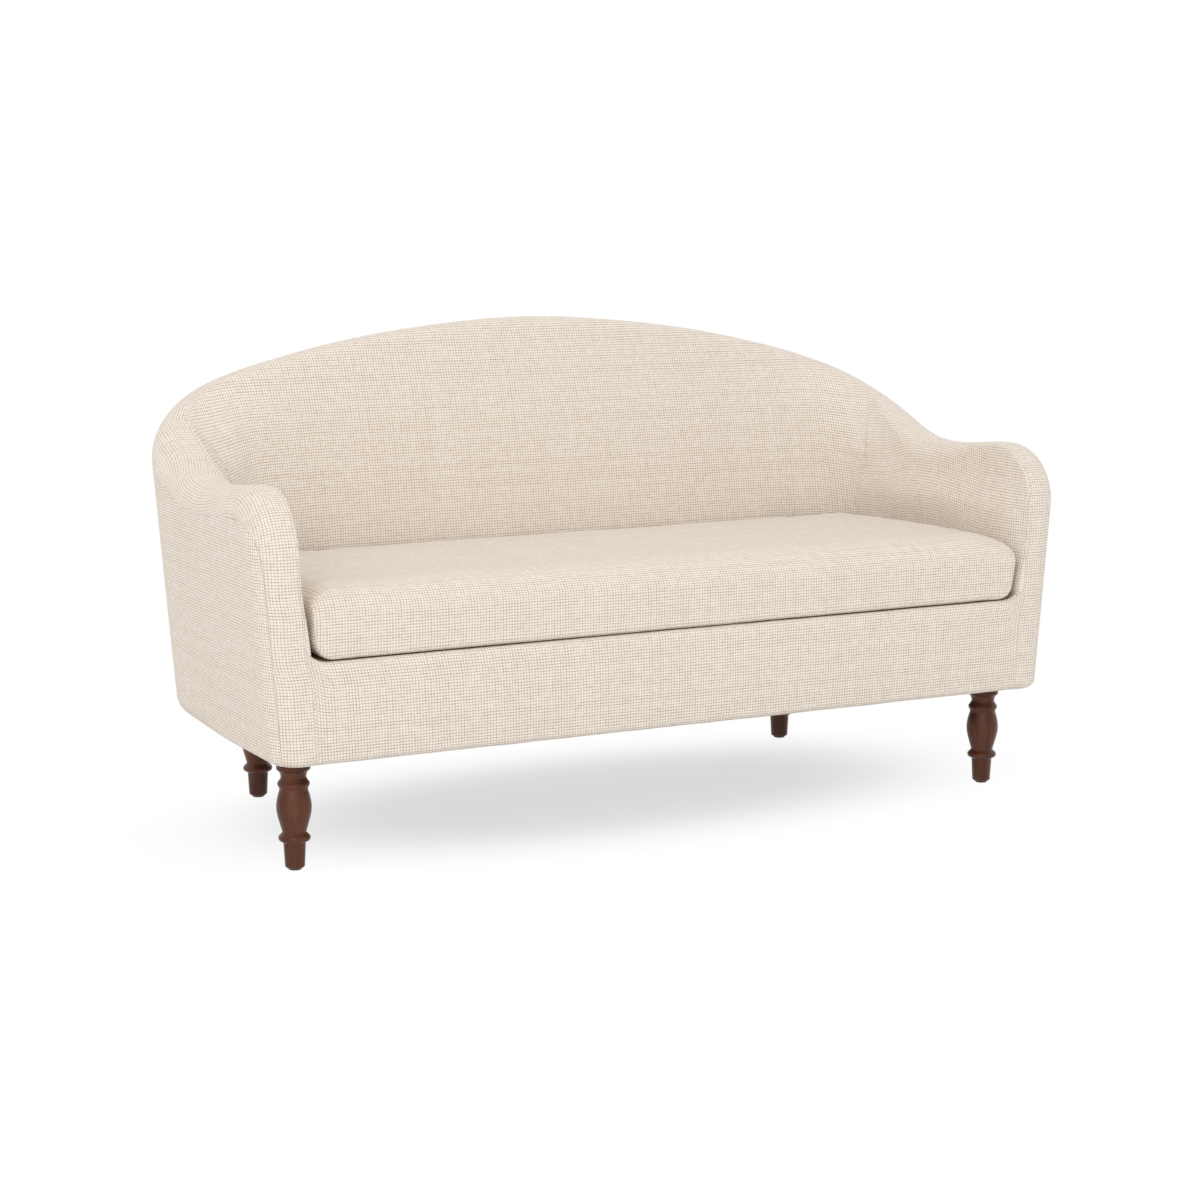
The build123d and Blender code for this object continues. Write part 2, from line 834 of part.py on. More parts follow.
# Leg plates, with a bolt hole and four sunk screw holes each
screw_places = [
    (x + i * plate_screw_spacing / 2, y + j * plate_screw_spacing / 2)
    for x, y in plate_corners
    for i in (-1, 1)
    for j in (-1, 1)
]
with BuildPart() as leg_plates:
    with BuildSketch(Plane.XY.offset(leg_height)):
        with Locations(*plate_corners):
            RectangleRounded(plate_size, plate_size, seam_edge)
        with Locations(*leg_corners):
            Circle(bolt_hole, mode=Mode.SUBTRACT)
        with Locations(*screw_places):
            Circle(screw_hole, mode=Mode.SUBTRACT)
    extrude(amount=plate_thickness)
    with BuildSketch(Plane.XY.offset(leg_height)):
        with Locations(*screw_places):
            Circle(screw_hole + screw_sink)
    extrude(amount=screw_sink, taper=45, mode=Mode.SUBTRACT)
write(leg_plates.part, "leg_plates")

with BuildPart() as plate_screw:
    with BuildSketch(Plane.XZ):
        with BuildLine():
            Polyline(
                (0, 0),
                (screw_diameter / 2 + screw_sink, 0),
                (screw_diameter / 2, screw_sink),
                (screw_diameter / 2, screw_length - screw_sink),
                (0, screw_length),
                close=True,
            )
        make_face()
    revolve(axis=Axis.Z)
with BuildPart() as plate_screws:
    with Locations(*[(x, y, leg_height) for x, y in screw_places]):
        add(plate_screw.part)
write(plate_screws.part, "plate_screws")

# Hanger bolts from the legs up into the corner blocks
bolt_low = leg_height - bolt_in_leg
with BuildPart() as hanger_bolts:
    with BuildSketch(Plane.XY.offset(bolt_low)):
        with Locations(*leg_corners):
            Circle(bolt_diameter / 2)
    extrude(amount=rail_bottom + bolt_in_block - bolt_low)
write(hanger_bolts.part, "hanger_bolts")

# Turned leg: tapered foot, ring, vase, bead, cove and a plain top under the body
half_ring = leg_ring_thickness / 2
half_bead = leg_bead_thickness / 2
ring_edge = leg_ring_diameter / 2 - half_ring / 2
bead_edge = leg_bead_diameter / 2 - half_bead / 2
foot_radius = leg_foot_diameter / 2
ankle_radius = leg_ankle_diameter / 2
neck_radius = leg_neck_diameter / 2
shoulder_radius = leg_shoulder_diameter / 2
cove_radius = leg_cove_diameter / 2
leg_top_low = leg_height - leg_top_thickness
with BuildPart() as leg:
    with BuildSketch(Plane.XZ):
        with BuildLine():
            Polyline(
                (0, glide_thickness),
                (foot_radius - foot_chamfer, glide_thickness),
                (foot_radius, glide_thickness + foot_chamfer),
                (ankle_radius, leg_ankle_height),
            )
            ThreePointArc(
                (ankle_radius, leg_ankle_height),
                (ankle_radius + 1.5, leg_ring_height - half_ring - 1.5),
                (ring_edge, leg_ring_height - half_ring),
            )
            ThreePointArc(
                (ring_edge, leg_ring_height - half_ring),
                (leg_ring_diameter / 2, leg_ring_height),
                (ring_edge, leg_ring_height + half_ring),
            )
            Line((ring_edge, leg_ring_height + half_ring), (neck_radius, leg_neck_height))
            Spline(
                (neck_radius, leg_neck_height),
                (leg_vase_diameter / 2, leg_vase_height),
                (shoulder_radius, leg_shoulder_height),
                tangents=((0.25, 1), (-0.35, 1)),
            )
            Line((shoulder_radius, leg_shoulder_height), (bead_edge, leg_bead_height - half_bead))
            ThreePointArc(
                (bead_edge, leg_bead_height - half_bead),
                (leg_bead_diameter / 2, leg_bead_height),
                (bead_edge, leg_bead_height + half_bead),
            )
            Line((bead_edge, leg_bead_height + half_bead), (cove_radius, leg_cove_height))
            ThreePointArc(
                (cove_radius, leg_cove_height),
                ((cove_radius + leg_top_diameter / 2) / 2 - 1.5, (leg_cove_height + leg_top_low) / 2 + 1.5),
                (leg_top_diameter / 2, leg_top_low),
            )
            Polyline(
                (leg_top_diameter / 2, leg_top_low),
                (leg_top_diameter / 2, leg_height),
                (0, leg_height),
                (0, glide_thickness),
            )
        make_face()
    revolve(axis=Axis.Z)
    with BuildSketch(Plane.XY.offset(leg_height)):
        Circle(bolt_hole)
    extrude(amount=-bolt_in_leg - 2, mode=Mode.SUBTRACT)
    with BuildSketch(Plane.XY.offset(glide_thickness)):
        Circle(glide_pin / 2 + bore_gap)
    extrude(amount=glide_pin_length + 1, mode=Mode.SUBTRACT)

for name, place in (("front", leg_places[0]), ("back", leg_places[1])):
    with BuildPart() as placed_leg:
        with Locations(place):
            add(leg.part)
    write_pair(placed_leg.part, f"leg_{name}")

# Nail-on glides: the settee stands on these four discs
with BuildPart() as glides:
    with BuildSketch():
        with Locations(*leg_corners):
            Circle(glide_diameter / 2)
    extrude(amount=glide_thickness)
    chamfer(glides.faces().group_by(Axis.Z)[0].edges(), glide_thickness / 3)
    with BuildSketch(Plane.XY.offset(glide_thickness)):
        with Locations(*leg_corners):
            Circle(glide_pin / 2)
    extrude(amount=glide_pin_length)
write(glides.part, "glides")

# Dust cover under the rails, cut out round the leg plates
dust_face = underside_face(dust_cover_inset, front + dust_cover_inset)
with BuildPart() as dust_cover:
    with BuildSketch(Plane.XY.offset(rail_bottom - dust_cover_thickness)):
        add(dust_face)
        with Locations(*plate_corners):
            Rectangle(plate_size + 2, plate_size + 2, mode=Mode.SUBTRACT)
    extrude(amount=dust_cover_thickness)
write(dust_cover.part, "dust_cover")

# Sinuous seat springs between clips on the front and back rails
spring_z = rail_top + wood_gap + clip_plate + seam_gap + spring_wire / 2
spring_front = (rail_front + rail_back) / 2
spring_reach = spring_spacing * (spring_count - 1) / 2
spring_back = back_rail_front(spring_reach) + rail_thickness / 2
bar_count = 2 * round((spring_back - spring_front) / spring_pitch / 2) + 1
bar_step = (spring_back - spring_front) / (bar_count - 1)
spring_turn = min(spring_bend, bar_step * 0.45)
zigzag = []
for i in range(bar_count):
    side = spring_half_width if i % 2 else -spring_half_width
    zigzag.append((side, spring_front + i * bar_step, spring_z))
    zigzag.append((-side, spring_front + i * bar_step, spring_z))
with BuildPart() as seat_spring:
    with BuildLine() as spring_path:
        FilletPolyline(*zigzag, radius=spring_turn)
    with BuildSketch(Plane(origin=spring_path.line @ 0, z_dir=spring_path.line % 0)):
        Circle(spring_wire / 2)
    sweep()
with BuildPart() as seat_springs:
    with GridLocations(spring_spacing, 1, spring_count, 1):
        add(seat_spring.part)
write(seat_springs.part, "seat_springs")

# Spring clips: folded plates that hold the end bars down on the rails
clip_slot = spring_wire + 2 * seam_gap
clip_height = clip_slot + 2 * clip_plate
with BuildPart() as spring_clip:
    with BuildSketch(Plane.YZ):
        with Locations((0, clip_height / 2)):
            Rectangle(clip_length, clip_height)
        with Locations((clip_plate, clip_height / 2)):
            Rectangle(clip_length, clip_slot, mode=Mode.SUBTRACT)
    extrude(amount=clip_width / 2, both=True)
with BuildPart() as spring_clips:
    with GridLocations(spring_spacing, 1, spring_count, 1):
        with Locations((0, spring_front, rail_top + wood_gap)):
            add(spring_clip.part)
        with Locations(Location((0, spring_back, rail_top + wood_gap), (0, 0, 180))):
            add(spring_clip.part)
write(spring_clips.part, "spring_clips")

# Tie wires across the springs
tie_z = spring_z + (spring_wire + tie_wire) / 2 + seam_gap / 2
tie_middle = (spring_front + spring_back) / 2
with BuildPart() as tie_wires:
    with BuildSketch(Plane.YZ):
        with Locations((tie_middle, tie_z)):
            with GridLocations(tie_spacing, 1, 2, 1):
                Circle(tie_wire / 2)
    extrude(amount=tie_length / 2, both=True)
write(tie_wires.part, "tie_wires")

# Deck pad and deck cloth that the cushion rests on, between the pads of the arms and the back
deck_low = tie_z + tie_wire / 2 + seam_gap
edge_back = border_back + wood_gap + rail_thickness
deck_front = edge_back + seam_gap
deck_back = seat_back - seam_gap
cloth_low = deck_height - deck_cloth_thickness
deck_points = [
    (arm_inner(deck_front - front, deck_low) - 2 * seam_gap, deck_front),
    (arm_inner(deck_back - front, deck_low) - 2 * seam_gap, deck_back),
]
deck_outline = deck_points + [(-x, y) for x, y in reversed(deck_points)]
for name, low, high in (("deck_pad", deck_low, cloth_low - seam_gap), ("deck_cloth", cloth_low, deck_height)):
    with BuildPart() as deck_layer:
        with BuildSketch(Plane.XY.offset(low)):
            with BuildLine():
                Polyline(*deck_outline, close=True)
            make_face()
        extrude(amount=high - low)
    write(deck_layer.part, name)

# Edge roll on the front rail
with BuildPart() as edge_roll:
    roll_low = rail_top + wood_gap + clip_height + seam_gap
    roll_reach = arm_inner(edge_back - front, roll_low) - 2 * seam_gap
    with BuildSketch(Plane.XY.offset(roll_low)):
        with Locations((0, (border_back + seam_gap + edge_back) / 2)):
            Rectangle(2 * roll_reach, edge_back - border_back - seam_gap)
    extrude(amount=deck_height - roll_low)
    fillet(edge_roll.edges().filter_by(Axis.X).group_by(Axis.Z)[-1], seam_edge)
write(edge_roll.part, "edge_roll")

# Webbing straps behind the pads, from the top rails to the tack rails
strap_low = tack_rail_bottom + seam_gap


def arm_strap_points(run):
    """Section of a strap on the inside of the arm frame."""
    high = top(run, band_pad + seam_gap) - seam_gap
    low_face = frame_inner(run, strap_low) - seam_gap
    high_face = frame_inner(run, high) - seam_gap
    return (
        (low_face - strap_thickness, strap_low),
        (low_face, strap_low),
        (high_face, high),
        (high_face - strap_thickness, high),
    )


arm_strap_spacing = (arm_run - nose_radius - 2 * strap_width) / (arm_strap_count - 1)
with BuildPart() as arm_straps:
    for i in range(arm_strap_count):
        middle = nose_radius + strap_width + i * arm_strap_spacing
        add(wall_loft([middle - strap_width / 2, middle + strap_width / 2], arm_strap_points))
write_pair(arm_straps.part, "arm_straps")


def back_strap_points(run):
    """Section of a strap on the front of the back frame."""
    x, y, angle = plan(run)
    high = top(run, band_pad + seam_gap) - seam_gap
    low_face = (tack_front - y) / math.sin(angle) - seam_gap
    high_face = frame_inner(run, high) - seam_gap
    return (
        (low_face - strap_thickness, strap_low),
        (low_face, strap_low),
        (low_face, tack_high),
        (high_face, high),
        (high_face - strap_thickness, high),
        (low_face - strap_thickness, tack_high),
    )


with BuildPart() as back_straps:
    for i in range(strap_count // 2):
        middle = half_run - strap_spacing * (i + 0.5)
        add(wall_loft([middle - strap_width / 2, middle + strap_width / 2], back_strap_points))
    mirror(about=Plane.YZ)
write(back_straps.part, "back_straps")


# Seat cushion: crowned top and bottom, rounded edges, ends drawn in
cushion_half = arm_inner_crease + arm_inner_lean * (deck_height - leg_height) - cushion_side_gap
cushion_low = deck_height + lift_gap
cushion_front = front + cushion_front_gap
cushion_back = seat_back - cushion_back_gap
edge_high = seat_height - cushion_crown


def cushion_face(x, inset):
    """Section of the cushion across its length, shrunk by an inset all round."""
    radius = max(cushion_edge_radius - inset, seam_edge)
    near = cushion_front + inset
    far_side = cushion_back - inset
    low = cushion_low + inset
    high = edge_high - inset
    crown = cushion_end_crown + (cushion_crown - cushion_end_crown) * (1 - (x / cushion_half) ** 2)
    middle = (near + far_side) / 2
    mid_height = (low + high) / 2
    diagonal = radius * (1 - math.sqrt(0.5))
    with BuildSketch(Plane.YZ.offset(x)) as face:
        with BuildLine():
            ThreePointArc((near + radius, high), (middle, high + crown), (far_side - radius, high))
            ThreePointArc(
                (far_side - radius, high),
                (far_side - diagonal, high - diagonal),
                (far_side, high - radius),
            )
            Line((far_side, high - radius), (far_side, low + radius))
            ThreePointArc(
                (far_side, low + radius),
                (far_side - diagonal, low + diagonal),
                (far_side - radius, low),
            )
            Line((far_side - radius, low), (near + radius, low))
            ThreePointArc((near + radius, low), (near + diagonal, low + diagonal), (near, low + radius))
            ThreePointArc((near, low + radius), (near - cushion_bulge, mid_height), (near, high - radius))
            ThreePointArc((near, high - radius), (near + diagonal, high - diagonal), (near + radius, high))
        make_face()
    return face.sketch


end_angles = [math.radians(a) for a in (20, 45, 70, 90)]
cushion_ends = [
    (cushion_half - cushion_end_round * (1 - math.sin(a)), cushion_end_round * (1 - math.cos(a)))
    for a in end_angles
]
flat_places = runs(0.0, cushion_ends[0][0], 5)[:-1]
half_places = [(x, 0.0) for x in flat_places] + cushion_ends
cushion_places = [(-x, inset) for x, inset in reversed(half_places[1:])] + half_places
with BuildPart() as seat_cushion:
    for x, inset in cushion_places:
        add(cushion_face(x, inset))
    loft(ruled=True)
write(seat_cushion.part, "seat_cushion")

# Zip along the back of the cushion, and its slider at the closed end
zip_z = (cushion_low + edge_high) / 2
zip_face = cushion_back + lift_gap / 2
with BuildPart() as zip_tape:
    with BuildSketch(Plane.XZ.offset(-zip_face)):
        with Locations((0, zip_z)):
            RectangleRounded(zip_length, zip_tape_height, seam_edge)
    extrude(amount=-zip_tape_thickness)
write(zip_tape.part, "zip_tape")

slider_face = zip_face + zip_tape_thickness + lift_gap / 2
slider_x = zip_length / 2 - slider_length
with BuildPart() as zip_slider:
    with BuildSketch(Plane.XZ.offset(-slider_face)):
        with Locations((slider_x, zip_z)):
            Trapezoid(slider_length, slider_height, 80)
    extrude(amount=-slider_thickness)
    with BuildSketch(Plane.XZ.offset(-slider_face - slider_thickness / 2)):
        with Locations((slider_x, zip_z - slider_height / 2 - pull_length / 2)):
            RectangleRounded(pull_width, pull_length + 2, pull_width / 3)
    extrude(amount=-slider_thickness / 2)
write(zip_slider.part, "zip_slider")
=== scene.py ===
"""Dressed settee: sewn covers, a filled seat cushion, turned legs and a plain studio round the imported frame."""
import json
import logging
import math
from dataclasses import dataclass, field, replace
from enum import Enum
from functools import cached_property
from typing import Callable, Optional, Sequence

import bpy
import numpy as np
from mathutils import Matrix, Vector, noise


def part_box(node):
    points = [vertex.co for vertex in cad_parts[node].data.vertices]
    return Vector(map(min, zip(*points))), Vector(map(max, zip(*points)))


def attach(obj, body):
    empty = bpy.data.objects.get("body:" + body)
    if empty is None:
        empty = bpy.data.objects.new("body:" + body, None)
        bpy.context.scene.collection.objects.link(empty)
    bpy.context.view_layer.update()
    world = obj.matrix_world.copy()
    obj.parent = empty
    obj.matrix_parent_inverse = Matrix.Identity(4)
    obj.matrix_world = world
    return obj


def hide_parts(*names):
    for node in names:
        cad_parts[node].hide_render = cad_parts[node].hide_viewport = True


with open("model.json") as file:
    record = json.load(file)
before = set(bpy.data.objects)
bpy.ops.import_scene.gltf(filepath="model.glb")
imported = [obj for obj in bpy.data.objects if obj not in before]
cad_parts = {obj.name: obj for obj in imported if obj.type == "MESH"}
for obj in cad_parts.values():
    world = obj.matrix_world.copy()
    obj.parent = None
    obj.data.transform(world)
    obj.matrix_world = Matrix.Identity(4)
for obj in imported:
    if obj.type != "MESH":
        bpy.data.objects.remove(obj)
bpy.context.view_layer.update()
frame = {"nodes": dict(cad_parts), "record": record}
log = logging.getLogger("settee")

Piece = bpy.types.Object
Node = bpy.types.Node
Socket = bpy.types.NodeSocket
Sockets = bpy.types.bpy_prop_collection
Colour = tuple[float, float, float, float]
Box = tuple[Sequence[float], Sequence[float]]


class Side(Enum):
    """Which half of the settee a piece belongs to, as the sign of its x."""

    LEFT = -1
    RIGHT = 1

    @property
    def word(self) -> str:
        """The side's name as it stands in the node names."""
        return self.name.lower()

    @property
    def mirror(self) -> np.ndarray:
        """Factors that carry a point of the right half to this side."""
        return np.array((self.value, 1.0, 1.0))


class Body(Enum):
    """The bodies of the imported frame."""

    FRAME = "body"
    CUSHION = "seat_cushion"
    SLIDER = "zip_slider"


# Shape of the body


@dataclass(frozen=True)
class Shell:
    """Plan, leaning walls and top line of the body, in metres."""

    half_width: float = 0.732
    front: float = -0.341
    corner_radius: float = 0.199
    back_radius: float = 8.360
    back_middle: float = 0.320396
    leg_height: float = 0.1875
    deck_height: float = 0.3515
    seat_height: float = 0.453
    seat_back: float = 0.179
    arm_flare: float = 0.082
    back_flare: float = 0.034
    arm_inner_lean: float = 0.047
    arm_inner_front: float = 0.674
    arm_inner_crease: float = 0.664
    crease_angle: float = 27.0
    nose_radius: float = 0.105
    roll_radius: float = 0.047
    back_band_width: float = 0.065
    arm_front_height: float = 0.621
    arm_dip: tuple[float, float] = (0.270, 0.6075)
    corner_heights: tuple[float, float, float] = (0.6405, 0.717, 0.7665)
    shoulder: tuple[float, float] = (0.356, 0.808)
    crown: tuple[float, float] = (0.164, 0.832)
    overall_height: float = 0.8405
    arm_front_slope: float = -0.03
    underside_radius: float = 0.013
    turned_under: float = 0.026
    pad_tuck: float = 0.022
    recline_drop: float = 0.009

    @property
    def corner_x(self) -> float:
        """Distance of a corner arc's centre from the middle."""
        return self.half_width - self.corner_radius

    @cached_property
    def corner_y(self) -> float:
        """Place of a corner arc's centre, front to back."""
        reach = self.back_radius - self.corner_radius
        return self.back_middle - self.back_radius + math.sqrt(reach**2 - self.corner_x**2)

    @cached_property
    def back_half_angle(self) -> float:
        """Half the angle that the arc of the back spans."""
        return math.asin(self.corner_x / (self.back_radius - self.corner_radius))

    @cached_property
    def corner_turn(self) -> float:
        """Angle that a corner arc turns through."""
        return math.pi / 2 - self.back_half_angle

    @cached_property
    def arm_run(self) -> float:
        """Length of the straight part of an arm."""
        return self.corner_y - self.front

    @cached_property
    def corner_end(self) -> float:
        """Run at which the corner passes into the back."""
        return self.arm_run + self.corner_radius * self.corner_turn

    @cached_property
    def half_run(self) -> float:
        """Run from an arm front to the middle of the back."""
        return self.corner_end + self.back_radius * self.back_half_angle

    @cached_property
    def crease_run(self) -> float:
        """Run at which the inside arm meets the inside back."""
        return self.arm_run + self.corner_radius * math.radians(self.crease_angle)

    @cached_property
    def crease_half(self) -> float:
        """Distance from the middle of the back to a crease."""
        return self.half_run - self.crease_run

    @property
    def nose_height(self) -> float:
        """Height at which the arm front begins to round over."""
        return self.arm_front_height - self.nose_radius

    @property
    def pad_low(self) -> float:
        """Height to which the inside covers run down behind the cushion."""
        return self.deck_height - self.pad_tuck

    @property
    def recline_start(self) -> float:
        """Height above which the inside back reclines."""
        return self.seat_height - self.recline_drop

    def plan(self, run: float) -> tuple[float, float, float]:
        """Point and outward angle on the right half of the underside line.

        Args:
            run: Distance along the line from the arm front.

        Returns:
            The point's x and y, and the angle of the outward direction.
        """
        if run <= self.arm_run:
            return self.half_width, self.front + run, 0.0
        if run <= self.corner_end:
            angle = (run - self.arm_run) / self.corner_radius
            x = self.corner_x + self.corner_radius * math.cos(angle)
            return x, self.corner_y + self.corner_radius * math.sin(angle), angle
        angle = self.corner_turn + (run - self.corner_end) / self.back_radius
        y = self.back_middle + self.back_radius * (math.sin(angle) - 1)
        return self.back_radius * math.cos(angle), y, angle

    @cached_property
    def crest_knots(self) -> tuple[np.ndarray, np.ndarray, np.ndarray]:
        """Knots of the top line's smooth curve.

        Returns:
            Their runs, heights and slopes.
        """
        corner_mid = (self.arm_run + self.corner_end) / 2
        knots = [
            (self.nose_radius, self.arm_front_height),
            self.arm_dip,
            (self.arm_run, self.corner_heights[0]),
            (corner_mid, self.corner_heights[1]),
            (self.corner_end, self.corner_heights[2]),
            (self.half_run - self.shoulder[0], self.shoulder[1]),
            (self.half_run - self.crown[0], self.crown[1]),
            (self.half_run, self.overall_height),
        ]
        places = np.array([place for place, _ in knots])
        values = np.array([value for _, value in knots])
        steps = np.diff(places)
        rises = np.diff(values) / steps
        count = len(knots)
        matrix = np.eye(count)
        right = np.zeros(count)
        right[0] = self.arm_front_slope
        for i in range(1, count - 1):
            matrix[i, i - 1 : i + 2] = steps[i], 2 * (steps[i - 1] + steps[i]), steps[i - 1]
            right[i] = 3 * (steps[i] * rises[i - 1] + steps[i - 1] * rises[i])
        return places, values, np.linalg.solve(matrix, right)

    def crest(self, run: float) -> float:
        """Height of the top line.

        Args:
            run: Distance along the underside line.

        Returns:
            The height.
        """
        places, values, slopes = self.crest_knots
        i = int(np.clip(np.searchsorted(places, run) - 1, 0, len(places) - 2))
        step = places[i + 1] - places[i]
        t = (run - places[i]) / step
        value = values[i] * (1 + 2 * t) * (1 - t) ** 2 + slopes[i] * step * t * (1 - t) ** 2
        return float(value + values[i + 1] * t * t * (3 - 2 * t) - slopes[i + 1] * step * t * t * (1 - t))

    def top(self, run: float, inset: float = 0.0) -> float:
        """Height of the line that lies inside the top line.

        Args:
            run: Distance along the underside line.
            inset: Distance from the top line.

        Returns:
            The height.
        """
        if run < self.nose_radius:
            rise = (self.nose_radius - inset) ** 2 - (self.nose_radius - run) ** 2
            return self.nose_height + math.sqrt(max(rise, 0.0))
        return self.crest(run) - inset

    def outer(self, run: float, z: float) -> float:
        """Outward offset of the outside face from the underside line."""
        angle = self.plan(run)[2]
        flare = self.arm_flare * math.cos(angle) ** 2 + self.back_flare * math.sin(angle) ** 2
        return flare * (z - self.leg_height)

    def arm_inner(self, run: float, z: float) -> float:
        """Distance of the arm's inside face from the middle."""
        share = min(run / self.crease_run, 1.0)
        base = self.arm_inner_front + (self.arm_inner_crease - self.arm_inner_front) * share
        return base + self.arm_inner_lean * (z - self.leg_height)

    def arm_wall(self, run: float, z: float) -> float:
        """Thickness of the arm, square to the outside line."""
        x, _, angle = self.plan(run)
        return self.outer(run, z) + (x - self.arm_inner(run, z)) / math.cos(angle)

    def band_width(self, run: float) -> float:
        """Width of the boxing band where it lies on top.

        Args:
            run: Distance along the underside line.

        Returns:
            The width.
        """
        place = max(min(run, self.crease_run), self.nose_radius)
        width = self.arm_wall(place, self.crest(place) - self.roll_radius)
        if run > self.crease_run:
            share = min((run - self.crease_run) / (self.corner_end - self.crease_run), 1.0)
            width += (self.back_band_width - width) * share * share * (3 - 2 * share)
        return width

    def wall_point(self, run: float, offset: float, z: float) -> np.ndarray:
        """Point at an outward offset from the underside line, on the right half."""
        x, y, angle = self.plan(run)
        return np.array((x + offset * math.cos(angle), y + offset * math.sin(angle), z))

    def inner_edge(self, run: float) -> np.ndarray:
        """Point on the seam between the band and the inside cover."""
        offset = self.outer(run, self.crest(run) - self.roll_radius) - self.band_width(run)
        return self.wall_point(run, offset, self.crest(run))


def smooth(value: float) -> float:
    """Smooth step from 0 to 1."""
    value = min(max(value, 0.0), 1.0)
    return value * value * (3 - 2 * value)


@dataclass(frozen=True)
class Ease:
    """Smooth change from 0 to 1 that begins at a start and takes a span, negative where it comes from above."""

    start: float
    span: float

    def at(self, value: float) -> float:
        """Share of the change at a value."""
        return smooth((value - self.start) / self.span)


@dataclass(frozen=True)
class Ripple:
    """Smooth unevenness of cloth: its height and wave length in metres, and a seed."""

    height: float
    length: float
    seed: float
    seed_depth: float = 3.1

    def at(self, across: float, up: float) -> float:
        """Height at a place on the cloth."""
        place = (across / self.length + self.seed, up / self.length - self.seed, self.seed * self.seed_depth)
        return self.height * noise.noise(Vector(place))


@dataclass(frozen=True)
class SoftForm:
    """How far the pads of the arms and the back swell over their frames, in metres."""

    shell: Shell
    corner_fill: float = 0.086
    corner_way: tuple[float, float] = (-0.55, -0.835)
    corner_from: float = 0.22
    corner_back: float = 0.36
    corner_drop: float = 0.130
    arm_power: float = 1.2
    back_power: float = 1.6
    pad_swell: float = 0.009
    pad_fade: Ease = Ease(0.56, -0.06)
    top_swell: float = 0.010
    top_along: Ease = Ease(0.15, 0.12)
    top_up: Ease = Ease(0.45, 0.08)
    crease_fade: float = 0.20
    front_roll: float = 0.005
    front_swell: float = 0.010
    front_fade: Ease = Ease(0.47, -0.11)
    front_ease: float = 0.06
    front_margin: float = 0.001
    top_roll: float = 0.034
    roll_begin: Ease = Ease(0.11, 0.18)
    roll_end: Ease = Ease(0.34, 0.12)
    crease_roll: float = 0.004
    back_roll: float = 0.022
    back_ease: float = 0.16
    facing_step: float = 0.009
    facing_fade: Ease = Ease(0.366, -0.06)
    overlap: float = 0.008
    zip_half: float = 0.455
    zip_ease: float = 0.06
    ahead_arm: float = 0.06
    ahead_back: float = 0.02
    cushion_drop: float = 0.2

    def corner(self, weight: float, drop: float) -> np.ndarray:
        """Shift of the right inside corner, towards the middle and the front.

        Args:
            weight: Share of the shift, 1 at the crease.
            drop: Depth below the top seam.

        Returns:
            The shift.
        """
        level = 1 - min(max(drop / self.corner_drop, 0.0), 1.0)
        amount = self.corner_fill * (1 - level * level) * weight
        return np.array((self.corner_way[0] * amount, self.corner_way[1] * amount, 0.0))

    def arm_weight(self, run: float) -> float:
        """Share of the corner's shift along an arm."""
        share = (run - self.corner_from) / (self.shell.crease_run - self.corner_from)
        return min(max(share, 0.0), 1.0) ** self.arm_power

    def back_weight(self, place: float) -> float:
        """Share of the corner's shift along the back."""
        share = 1 - (self.shell.crease_half - abs(place)) / self.corner_back
        return min(max(share, 0.0), 1.0) ** self.back_power

    def arm_swell(self, run: float, z: float) -> float:
        """Fill of the inside arm over its frame.

        Args:
            run: Distance from the arm front.
            z: Height.

        Returns:
            The fill.
        """
        edge = self.front_swell * self.front_fade.at(z)
        deep = self.pad_swell * self.pad_fade.at(z)
        low = edge + (deep - edge) * smooth(run / self.front_ease)
        high = self.top_swell * self.top_along.at(run) * self.top_up.at(z)
        return low + high * smooth((self.shell.crease_run - run) / self.crease_fade)

    def roll(self, run: float, z: float) -> float:
        """Radius of the round from the inside arm to its seam with the band.

        Args:
            run: Distance from the arm front.
            z: Height.

        Returns:
            The radius.
        """
        edge = max(self.front_roll, self.arm_swell(0.0, z) + self.front_margin)
        value = edge + (self.top_roll - edge) * self.roll_begin.at(run)
        return value + (self.crease_roll - value) * self.roll_end.at(run)

    def back_edge(self, run: float) -> float:
        """Radius of the round from the inside back to its seam with the band."""
        share = smooth((run - self.shell.crease_run) / self.back_ease)
        return self.crease_roll + (self.back_roll - self.crease_roll) * share

    def seam_shift(self, run: float, z: float) -> float:
        """How far the band's inner seam lies outward of the pad's inner edge."""
        if run > self.shell.crease_run:
            return self.back_edge(run)
        return max(self.roll(run, z) - self.arm_swell(run, z), 0.0)

    def facing_reach(self, z: float) -> float:
        """How far the facing reaches inward below the deck."""
        return self.facing_step * self.facing_fade.at(z)

    def arm_face(self, y: float, z: float) -> float:
        """Distance of the padded inside arm from the middle, beside the cushion.

        Args:
            y: Place front to back.
            z: Height.

        Returns:
            The distance.
        """
        run = min(max(y - self.shell.front, 0.0), self.shell.crease_run)
        shift = self.corner(self.arm_weight(run + self.ahead_arm), self.cushion_drop)[0]
        return self.shell.arm_inner(run, z) - self.arm_swell(run, z) + shift

    def back_face(self, x: float) -> float:
        """Place of the inside back behind the cushion, front to back; it is straight along the zip."""
        place = min(abs(x) / self.shell.arm_inner_crease, 1.0) * self.shell.crease_half
        share = smooth((abs(x) - self.zip_half) / self.zip_ease)
        shift = self.corner(self.back_weight(place + self.ahead_back), self.cushion_drop)[1]
        return self.shell.seat_back + shift * share


# Modelling helpers

# Distances from a sewn edge of the close places, and the most of a panel that they may take up
CLOSE_STEPS = (0.0, 0.0003, 0.001, 0.002, 0.0035, 0.0055, 0.008, 0.0115, 0.016, 0.022, 0.029, 0.037)
CLOSE_SHARE = 0.45
# Length in metres that the places up a wall are spread over before they become shares
WALL_HEIGHT = 0.4
